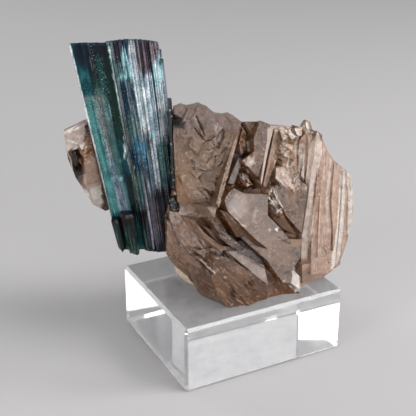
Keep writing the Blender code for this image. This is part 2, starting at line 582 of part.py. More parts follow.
def slim_crystal(name, finish, foot, top, radius, narrowing, sides, ribs, seed, gap=0.0):
    """A small ribbed crystal with a ragged foot and a bevelled flat top, between two points.

    The points are given across, towards the front and up. narrowing is its foot's width against its top's.
    """
    rng = random.Random(seed)
    count = sides * ribs
    spokes = [1.0 + rng.uniform(-0.05, 0.05) + (0.05 if i % ribs else -0.04) for i in range(count)]
    ragged = [rng.uniform(-0.7, 0.7) for _ in range(count)]
    turn = Matrix.Rotation(TOURMALINE_TURN, 3, "Z")
    start = Vector((foot[0], -foot[1], foot[2]))
    end = Vector((top[0], -top[1], top[2]))
    rings = []
    for share, size in ((0.0, 0.84 * narrowing), (0.08, narrowing), (0.93, 1.0), (1.0, 0.86)):
        middle = start.lerp(end, share)
        ring = []
        for i in range(count):
            angle = 2 * math.pi * i / count
            reach_a = radius[0] * spokes[i] * size + gap / MM
            reach_b = radius[1] * spokes[i] * size + gap / MM
            lift = ragged[i] if share < 0.5 else 0
            point = middle + Vector((reach_a * math.cos(angle), reach_b * math.sin(angle), lift))
            ring.append(tuple(turn @ point))
        rings.append(ring)
    return skin(name, rings, finish)


# The chip of tourmaline set in the quartz: its middle, and its outline across the corner and outwards
CHIP_MIDDLE = (-24.3, -3.0, 61.0)
CHIP_OUTLINE = [(-1.7, 0.1), (-0.9, 0.9), (0.8, 0.8), (1.6, -0.2), (1.0, -1.9), (-1.1, -2.0)]
CHIP_ENDS = [(-2.4, 0.75), (-1.5, 1.0), (1.4, 0.95), (2.3, 0.6)]


def chip(name, grow=0.0):
    across = Vector((0.72, -0.69, 0))
    outward = Vector((-0.69, -0.72, 0))
    lean = Vector((-0.12, 0.02, 1))
    points = []
    for up, size in CHIP_ENDS:
        for u, v in CHIP_OUTLINE:
            reach = size + grow / MM / 1.8
            for out in ([v * reach] if not grow else [v * reach, v * reach + 3]):
                place = Vector(CHIP_MIDDLE) + across * u * reach + outward * out
                points.append(place + lean * (up + math.copysign(grow / MM, up)))
    return hull(name, points)


def smoky_quartz(finish):
    """The quartz: its masses and ledges joined, then its hollows, foot and crystals' rooms cut away."""
    shells = quartz_mass() + quartz_ledges()
    quartz = shells[0]
    combine(quartz, gather("shells", shells[1:]), "UNION", tool_overlaps_itself=True)
    keep_outer_skin(quartz)
    cutters = [pit(name, side, outline, depth) for name, (side, outline, depth) in PITS.items()]
    low = QUARTZ_FOOT / MM
    corners = [(-80, -60), (80, -60), (80, 60), (-80, 60)]
    cutters.append(skin("foot cutter", [[(x, y, z) for x, y in corners] for z in (low - 20, low)]))
    rings = [placed(tourmaline_ring(z), z) for z in (TOURMALINE_FOOT / MM - 1.5, TOURMALINE_FOOT / MM + 84)]
    cutters.append(grown_hull("room for the crystal", rings, POCKET_GAP))
    cutters.append(slim_crystal("room for the needle", None, *NEEDLE, gap=POCKET_GAP))
    cutters.append(chip("room for the chip", grow=POCKET_GAP))
    combine(quartz, gather("cutters", cutters), "DIFFERENCE", tool_overlaps_itself=True)
    keep_outer_skin(quartz)
    quartz.name = "smoky_quartz"
    in_triangles(quartz)
    quartz.data.materials.clear()
    quartz.data.materials.append(finish)
    return quartz


def acrylic_block(finish):
    bm = bmesh.new()
    bmesh.ops.create_cube(bm, size=1.0)
    bmesh.ops.scale(bm, vec=(BLOCK_LENGTH, BLOCK_DEPTH, BLOCK_HEIGHT), verts=bm.verts)
    bmesh.ops.translate(bm, vec=(0, 0, BLOCK_HEIGHT / 2), verts=bm.verts)
    block = to_object("acrylic_block", bm, finish)
    bevel = block.modifiers.new("polished edges", "BEVEL")
    bevel.width = BLOCK_BEVEL
    bevel.segments = 1
    return block


def setting_putty(finish):
    """The pad of putty that bedded the quartz, a wedge under its raised left side."""
    rim = [(-16.9, 13.4), (-17.2, 5.6), (-16.5, 1.8), (-15.0, -1.2), (-13.6, -2.2), (-9.0, 3.0),
    (-7.0, 15.5),
           (-12.5, 16.8)]
    low = BLOCK_HEIGHT / MM + GAP / MM
    middle = Vector((-12.2, 6.5))
    rings = []
    for up, size in ((0.0, 0.96), (0.7, 1.0), (2.2, 0.93), (3.4, 0.72)):
        ring = [middle + size * (Vector(point) - middle) for point in rim]
        rings.append([(point.x, point.y, low + up) for point in ring])
    pad = skin("setting_putty", rings, finish)
    around = ((0, 0, 0), (-0.6, 0, -0.4), (0.3, -0.6, -0.5), (-0.3, 0.6, -0.5))
    cut(pad, hull("room for the quartz", [
        (x + dx, y + dy, z + dz) for x, y, z in QUARTZ_FOOT_CORNERS for dx, dy, dz in around
    ]))
    return pad


def build():
    clear_scene()
    clear = material("clear acrylic", (0.95, 0.96, 0.97), 0.03, 1.0, 1.49)
    cream = material("cream putty", (0.72, 0.62, 0.50), 0.70)
    smoky = material("smoky quartz", (0.42, 0.33, 0.27), 0.15, 0.6, 1.54)
    teal = material("indicolite tourmaline", (0.03, 0.22, 0.24), 0.12, 0.4, 1.63)
    acrylic_block(clear)
    setting_putty(cream)
    smoky_quartz(smoky)
    main_crystal(teal)
    slim_crystal("tourmaline_needle", teal, *NEEDLE)
    chip("tourmaline_chip").data.materials.append(teal)


build()
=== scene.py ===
"""The looks of an indicolite tourmaline on smoky quartz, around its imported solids.

Sizes are in metres, in the solids' own frame. X runs along the display block, Y away from the side that the
specimen is seen from, and Z up. Outlines of fine relief are given in millimetres.
"""

import json
import math

import bmesh
import bpy
import numpy as np
from mathutils import Matrix, Vector, noise

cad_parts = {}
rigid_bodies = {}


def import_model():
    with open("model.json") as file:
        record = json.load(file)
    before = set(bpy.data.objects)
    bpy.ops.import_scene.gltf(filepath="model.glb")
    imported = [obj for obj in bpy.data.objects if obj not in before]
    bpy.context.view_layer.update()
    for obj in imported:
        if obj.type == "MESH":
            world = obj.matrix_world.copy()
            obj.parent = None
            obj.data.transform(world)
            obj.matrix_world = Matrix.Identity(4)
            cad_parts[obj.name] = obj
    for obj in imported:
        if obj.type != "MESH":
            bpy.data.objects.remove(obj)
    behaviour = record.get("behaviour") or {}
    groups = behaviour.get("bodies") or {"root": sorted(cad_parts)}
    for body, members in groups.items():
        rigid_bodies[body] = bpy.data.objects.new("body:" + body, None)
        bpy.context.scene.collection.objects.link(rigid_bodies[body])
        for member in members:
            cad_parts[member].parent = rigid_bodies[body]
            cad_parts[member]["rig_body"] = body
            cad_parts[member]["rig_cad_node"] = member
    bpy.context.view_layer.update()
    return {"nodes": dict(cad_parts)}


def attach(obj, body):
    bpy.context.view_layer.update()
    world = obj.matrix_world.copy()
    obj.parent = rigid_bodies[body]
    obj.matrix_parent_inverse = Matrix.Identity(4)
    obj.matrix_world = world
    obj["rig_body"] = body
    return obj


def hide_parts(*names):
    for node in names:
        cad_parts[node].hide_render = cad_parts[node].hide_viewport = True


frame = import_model()

# One seed for the noise, so that each run gives the same relief
noise.seed_set(11)


# Studio. A wide pale floor that the block stands on, soft boxes around it, and the camera at the place that
# the specimen is seen from: 27 degrees round to its left and 24 degrees above it.

FLOOR_WIDTH = 6.0
CAMERA_TURN = math.radians(-27.32)
CAMERA_RISE = math.radians(23.92)
CAMERA_REACH = 0.345
CAMERA_LENS = 77.37
AIM_ACROSS = -0.00842
AIM_UP = 0.04855


def tone(red, green, blue):
    """A colour as a screen shows it, from 0 to 255, in the renderer's own units."""
    shares = [((c / 255 + 0.055) / 1.055) ** 2.4 if c > 10 else c / 3295 for c in (red, green, blue)]
    return (*shares, 1.0)


def softbox(name, place, aim, width, height, power, color=(1.0, 1.0, 1.0)):
    """A large flat lamp at a place, turned towards another."""
    bpy.ops.object.light_add(type="AREA", location=place)
    lamp = bpy.context.object
    lamp.name = name
    lamp.rotation_euler = (Vector(place) - Vector(aim)).to_track_quat("Z", "Y").to_euler()
    lamp.data.shape = "RECTANGLE"
    lamp.data.size = width
    lamp.data.size_y = height
    lamp.data.energy = power
    lamp.data.color = color


bpy.ops.object.select_all(action="DESELECT")
bpy.ops.mesh.primitive_plane_add(size=FLOOR_WIDTH, location=(0, 0, -0.0001))
floor = bpy.context.object
floor.name = "floor"
floor_paint = bpy.data.materials.new("pale floor")
floor_paint.use_nodes = True
floor_paint.node_tree.nodes["Principled BSDF"].inputs["Base Color"].default_value = tone(182, 180, 180)
floor_paint.node_tree.nodes["Principled BSDF"].inputs["Roughness"].default_value = 0.75
floor.data.materials.append(floor_paint)

away = Vector((
    math.sin(CAMERA_TURN) * math.cos(CAMERA_RISE),
    -math.cos(CAMERA_TURN) * math.cos(CAMERA_RISE),
    math.sin(CAMERA_RISE),
))
to_right = Vector((math.cos(CAMERA_TURN), math.sin(CAMERA_TURN), 0))
upwards = away.cross(to_right)
aim = to_right * AIM_ACROSS + upwards * AIM_UP
facing = Matrix((to_right, upwards, away)).transposed().to_euler()
bpy.ops.object.camera_add(location=aim + away * CAMERA_REACH, rotation=facing)
camera = bpy.context.object
camera.data.lens = CAMERA_LENS
camera.data.sensor_width = 36
camera.data.clip_start = 0.01
bpy.context.scene.camera = camera

middle = (0, 0, 0.06)
softbox("front box", (0.12, -0.90, 0.28), middle, 0.90, 0.50, 5.3)
softbox("key box", (0.50, -0.56, 0.86), middle, 0.45, 0.45, 6.0)
softbox("left box", (-0.95, -0.30, 0.30), middle, 0.35, 0.70, 4.5)
softbox("back box", (0.35, 0.85, 0.55), middle, 1.30, 1.00, 1.7)
softbox("back left box", (-0.50, 0.88, 0.36), middle, 0.50, 0.50, 3.0)
softbox("top box", (-0.10, 0.00, 1.10), middle, 0.90, 0.70, 2.2)
softbox("right box", (0.88, -0.45, 0.38), middle, 0.30, 0.60, 6.5)

air = bpy.data.worlds.new("studio air")
air.use_nodes = True
air.node_tree.nodes["Background"].inputs["Color"].default_value = (0.93, 0.95, 1.0, 1)
air.node_tree.nodes["Background"].inputs["Strength"].default_value = 0.20
bpy.context.scene.world = air
bpy.context.scene.view_settings.view_transform = "Standard"


# Display block. A rectangle of clear cast acrylic, 64 x 54 x 25 mm, with diamond-polished faces and narrow
# bevels. Its top carries a few faint scuffs beside the quartz, and its bevels are a little less polished.


def add(tree, kind, inputs=(), **settings):
    """A shader node of a kind, with its inputs set to values or joined to other nodes' sockets."""
    made = tree.nodes.new("ShaderNode" + kind)
    for name, value in settings.items():
        setattr(made, name, value)
    for name, value in dict(inputs).items():
        if isinstance(value, bpy.types.NodeSocket):
            tree.links.new(value, made.inputs[name])
        else:
            made.inputs[name].default_value = value
    return made


def calc(tree, operation, one, other=0.0, clamp=False):
    """A number worked out from two others."""
    return add(tree, "Math", {0: one, 1: other}, operation=operation, use_clamp=clamp).outputs[0]


def product(tree, *values):
    """Some numbers multiplied together."""
    whole = values[0]
    for value in values[1:]:
        whole = calc(tree, "MULTIPLY", whole, value)
    return whole


def fade(tree, value, start, end):
    """0 up to start and 1 from end, or the other way round when start is the larger."""
    low, high = min(start, end), max(start, end)
    inputs = {"Value": value, "From Min": low, "From Max": high}
    inputs.update({"To Min": 0.0, "To Max": 1.0} if start < end else {"To Min": 1.0, "To Max": 0.0})
    return add(tree, "MapRange", inputs, interpolation_type="SMOOTHSTEP").outputs[0]


def mixed(tree, share, one, other):
    """A colour between two others, by a share."""
    return add(tree, "Mix", {0: share, 6: one, 7: other}, data_type="RGBA").outputs[2]


def in_millimetres(tree):
    """A piece's own coordinates, in millimetres."""
    place = add(tree, "TexCoord").outputs["Object"]
    return add(tree, "Mapping", {"Vector": place, "Scale": (1000, 1000, 1000)}).outputs[0]


def drawn_out(tree, place, turn, sizes):
    """Coordinates in which a pattern is turned, and drawn out by its own size each way."""
    inputs = {"Vector": place, "Rotation": turn, "Scale": sizes}
    return add(tree, "Mapping", inputs, vector_type="TEXTURE").outputs[0]


def clouding(tree, place, scale, detail, roughness=0.5, distortion=0.0):
    """Soft noise, mostly between 0.3 and 0.7."""
    inputs = {"Vector": place, "Scale": scale, "Detail": detail, "Roughness": roughness}
    return add(tree, "TexNoise", {**inputs, "Distortion": distortion}).outputs[0]


def add_bump(tree, shader, height, strength, distance, **inputs):
    """Fine relief that a shader gets from a height."""
    bump = add(tree, "Bump", {"Height": height, "Strength": strength, "Distance": distance, **inputs})
    tree.links.new(bump.outputs[0], shader.inputs["Normal"])


def start_material(name):
    """A new material, its nodes and its shader."""
    made = bpy.data.materials.new(name)
    made.use_nodes = True
    tree = made.node_tree
    return made, tree, tree.nodes["Principled BSDF"]


def clear_acrylic():
    made, tree, shader = start_material("clear acrylic")
    place = in_millimetres(tree)
    normal = add(tree, "TexCoord").outputs["Normal"]
    flat = add(tree, "VectorMath", {0: normal}, operation="ABSOLUTE").outputs[0]
    x, y, z = add(tree, "SeparateXYZ", {0: flat}).outputs
    squareness = calc(tree, "MAXIMUM", calc(tree, "MAXIMUM", x, y), z)
    bevel = fade(tree, squareness, 0.98, 0.80)
    scuffs = clouding(tree, drawn_out(tree, place, (0, 0, 0.9), (4.0, 0.33, 1.0)), 1.3, 5.0, 0.7)
    patch = fade(tree, clouding(tree, place, 0.10, 1.0), 0.50, 0.70)
    scuffs = product(tree, fade(tree, scuffs, 0.60, 0.75), patch)
    dull = calc(tree, "ADD", product(tree, bevel, 0.05), product(tree, scuffs, 0.22))
    tree.links.new(calc(tree, "ADD", dull, 0.012), shader.inputs["Roughness"])
    add_bump(tree, shader, scuffs, 0.3, 0.0001)
    haze = fade(tree, clouding(tree, place, 0.16, 7.0, 0.68, 0.5), 0.44, 0.66)
    tree.links.new(mixed(tree, haze, (1, 1, 1, 1), (0.84, 0.84, 0.855, 1)), shader.inputs["Base Color"])
    shader.inputs["IOR"].default_value = 1.49
    shader.inputs["Transmission Weight"].default_value = 0.85
    return made


block = frame["nodes"]["acrylic_block"]
block.data.materials.clear()
block.data.materials.append(clear_acrylic())


# Setting putty. The cream pad that the quartz was bedded on, pressed out in a lumpy fringe that shows under
# its raised left side.

PUTTY_GRAIN = 0.6
LUMP_SIZE = 0.0022
LUMP_HEIGHT = 0.0005


def copy_of(node, name):
    """A copy of one of the solids, with its doubled points merged, to carry finer relief."""
    bpy.ops.object.select_all(action="DESELECT")
    solid = frame["nodes"][node]
    solid.select_set(True)
    bpy.context.view_layer.objects.active = solid
    bpy.ops.object.duplicate()
    piece = bpy.context.object
    piece.name = name
    piece.data.name = name
    piece.parent = None
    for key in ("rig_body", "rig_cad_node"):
        del piece[key]
    piece.data.materials.clear()
    bpy.ops.object.mode_set(mode="EDIT")
    bpy.ops.mesh.select_all(action="SELECT")
    bpy.ops.mesh.customdata_custom_splitnormals_clear()
    bpy.ops.mesh.remove_doubles(threshold=0.000002)
    bpy.ops.object.mode_set(mode="OBJECT")
    return piece


def cut_long_edges(piece, longest, rounds=12, stretch=(1.0, 1.0, 1.0)):
    """Halves every edge longer than longest allows at its middle, again and again, in millimetres."""
    shape = bmesh.new()
    shape.from_mesh(piece.data)
    bmesh.ops.triangulate(shape, faces=shape.faces)
    for _ in range(rounds):
        edges = list(shape.edges)
        ends = np.array([(*edge.verts[0].co, *edge.verts[1].co) for edge in edges]) * 1000
        lengths = np.linalg.norm((ends[:, :3] - ends[:, 3:]) * stretch, axis=1)
        long = lengths > longest((ends[:, :3] + ends[:, 3:]) / 2)
        if not long.any():
            break
        chosen = [edge for edge, cut in zip(edges, long) if cut]
        bmesh.ops.subdivide_edges(shape, edges=chosen, cuts=1, use_single_edge=True)
        wide = [face for face in shape.faces if len(face.verts) > 3]
        bmesh.ops.triangulate(shape, faces=wide, quad_method="SHORT_EDGE")
    shape.to_mesh(piece.data)
    shape.free()


def displace(piece, name, size, height):
    """Cloudy lumps along the surface's own normal, of a size and height in metres."""
    lumps = bpy.data.textures.new(name, "CLOUDS")
    lumps.noise_scale = size
    bpy.context.view_layer.objects.active = piece
    step = piece.modifiers.new(name, "DISPLACE")
    step.texture = lumps
    step.texture_coords = "LOCAL"
    step.strength = height
    bpy.ops.object.modifier_apply(modifier=name)


def finish_piece(piece, material, smooth_angle, node):
    """Shades a piece, gives it its material and puts it in its solid's place."""
    bpy.ops.object.select_all(action="DESELECT")
    piece.select_set(True)
    bpy.context.view_layer.objects.active = piece
    bpy.ops.object.shade_smooth_by_angle(angle=math.radians(smooth_angle))
    piece.data.materials.append(material)
    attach(piece, "root")
    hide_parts(node)


def cream_putty():
    made, tree, shader = start_material("cream putty")
    place = in_millimetres(tree)
    cloud = fade(tree, clouding(tree, place, 0.9, 4.0), 0.35, 0.65)
    color = mixed(tree, cloud, tone(216, 202, 182), tone(178, 156, 130))
    tree.links.new(color, shader.inputs["Base Color"])
    shader.inputs["Roughness"].default_value = 0.72
    shader.inputs["Subsurface Weight"].default_value = 0.15
    shader.inputs["Subsurface Radius"].default_value = (1.0, 0.7, 0.5)
    shader.inputs["Subsurface Scale"].default_value = 0.0006
    add_bump(tree, shader, clouding(tree, place, 6.0, 4.0), 0.5, 0.0002)
    return made


putty = copy_of("setting_putty", "putty_pad")
cut_long_edges(putty, lambda places: PUTTY_GRAIN)
displace(putty, "putty lumps", LUMP_SIZE, LUMP_HEIGHT)
finish_piece(putty, cream_putty(), 50, "setting_putty")


# Smoky quartz. One broken crystal mass: satin plates stepped over one another, brown where the light comes
# through it, sugary and streaked at the right, and eaten into wandering ledges on its upper left slope.

# How long the edges of its copy may be, in millimetres: on the seen plates, at the back, on the etched slope,
# where it is broken and beside the drawn lines. Then how deep and how high the drawn lines are cut and raised
PLATE_GRAIN = 1.90
BACK_GRAIN = 2.80
SLOPE_GRAIN = 1.10
BROKEN_GRAIN = 0.95
LINE_GRAIN = 0.46
GROOVE_DEPTH = 0.28
LIP_HEIGHT = 0.14

# Colours of the quartz
GREY_MAUVE = tone(158, 139, 134)
GREY_BROWN = tone(160, 136, 118)
PINKISH_TAN = tone(166, 136, 114)
WARM_TAN = tone(150, 112, 80)
AMBER = tone(152, 101, 60)
DEEP_AMBER = tone(112, 72, 42)
DARK_BROWN = tone(58, 36, 24)
NEAR_BLACK = tone(24, 14, 10)
ROSE_GREY = tone(208, 180, 164)
DUSKY_ROSE = tone(172, 140, 122)
PALE_GREY = tone(200, 186, 180)
MILKY = tone(222, 208, 200)
WHITE = tone(255, 249, 244)
# For the right block's bevel, a painted highlight
BEVEL_HIGHLIGHT = tone(255, 240, 230)
CREAM = tone(228, 212, 190)
FOOT_BROWN = tone(104, 69, 43)
STEP_BROWN = tone(78, 50, 32)
STEP_GREY = tone(160, 142, 134)
BRIGHT_AMBER = tone(146, 108, 78)
GOLDEN = tone(190, 156, 126)
HONEY = tone(150, 120, 88)
PALE_ROSE = tone(212, 188, 178)
WALL_BROWN = tone(172, 146, 130)
WALL_SHADE = tone(122, 92, 72)

# Gaps that are shallower than the solid's, with how much: the streaks, and the recess by the centre plate.
# Then the depth of the facets' fronts at 80 mm up, and how it leans
SHALLOW_GAPS = [
    (0.92, [(11.0, 83.6), (17.6, 83.4), (18.9, 81.5), (18.9, 66.0), (14.0, 66.0), (11.0, 70.0),
        (10.6, 76.0)]),
    (0.75, [(5.0, 63.6), (7.4, 66), (9.4, 62), (11.2, 57), (9.6, 54.5), (6.5, 56), (5.2, 60)]),
]
FACETS_FRONT = -15.2
FACETS_LEAN = 0.14

# The outline of the blade's wall
BLADE_WALL = [(8.5, 86.5), (11.4, 84.6), (11.2, 81.7), (10.2, 76), (9.0, 70.8), (8.2, 67.4), (6.6, 63.3),
        (2.6, 66.4), (4.6, 72), (6.9, 79), (8.2, 83.5)]

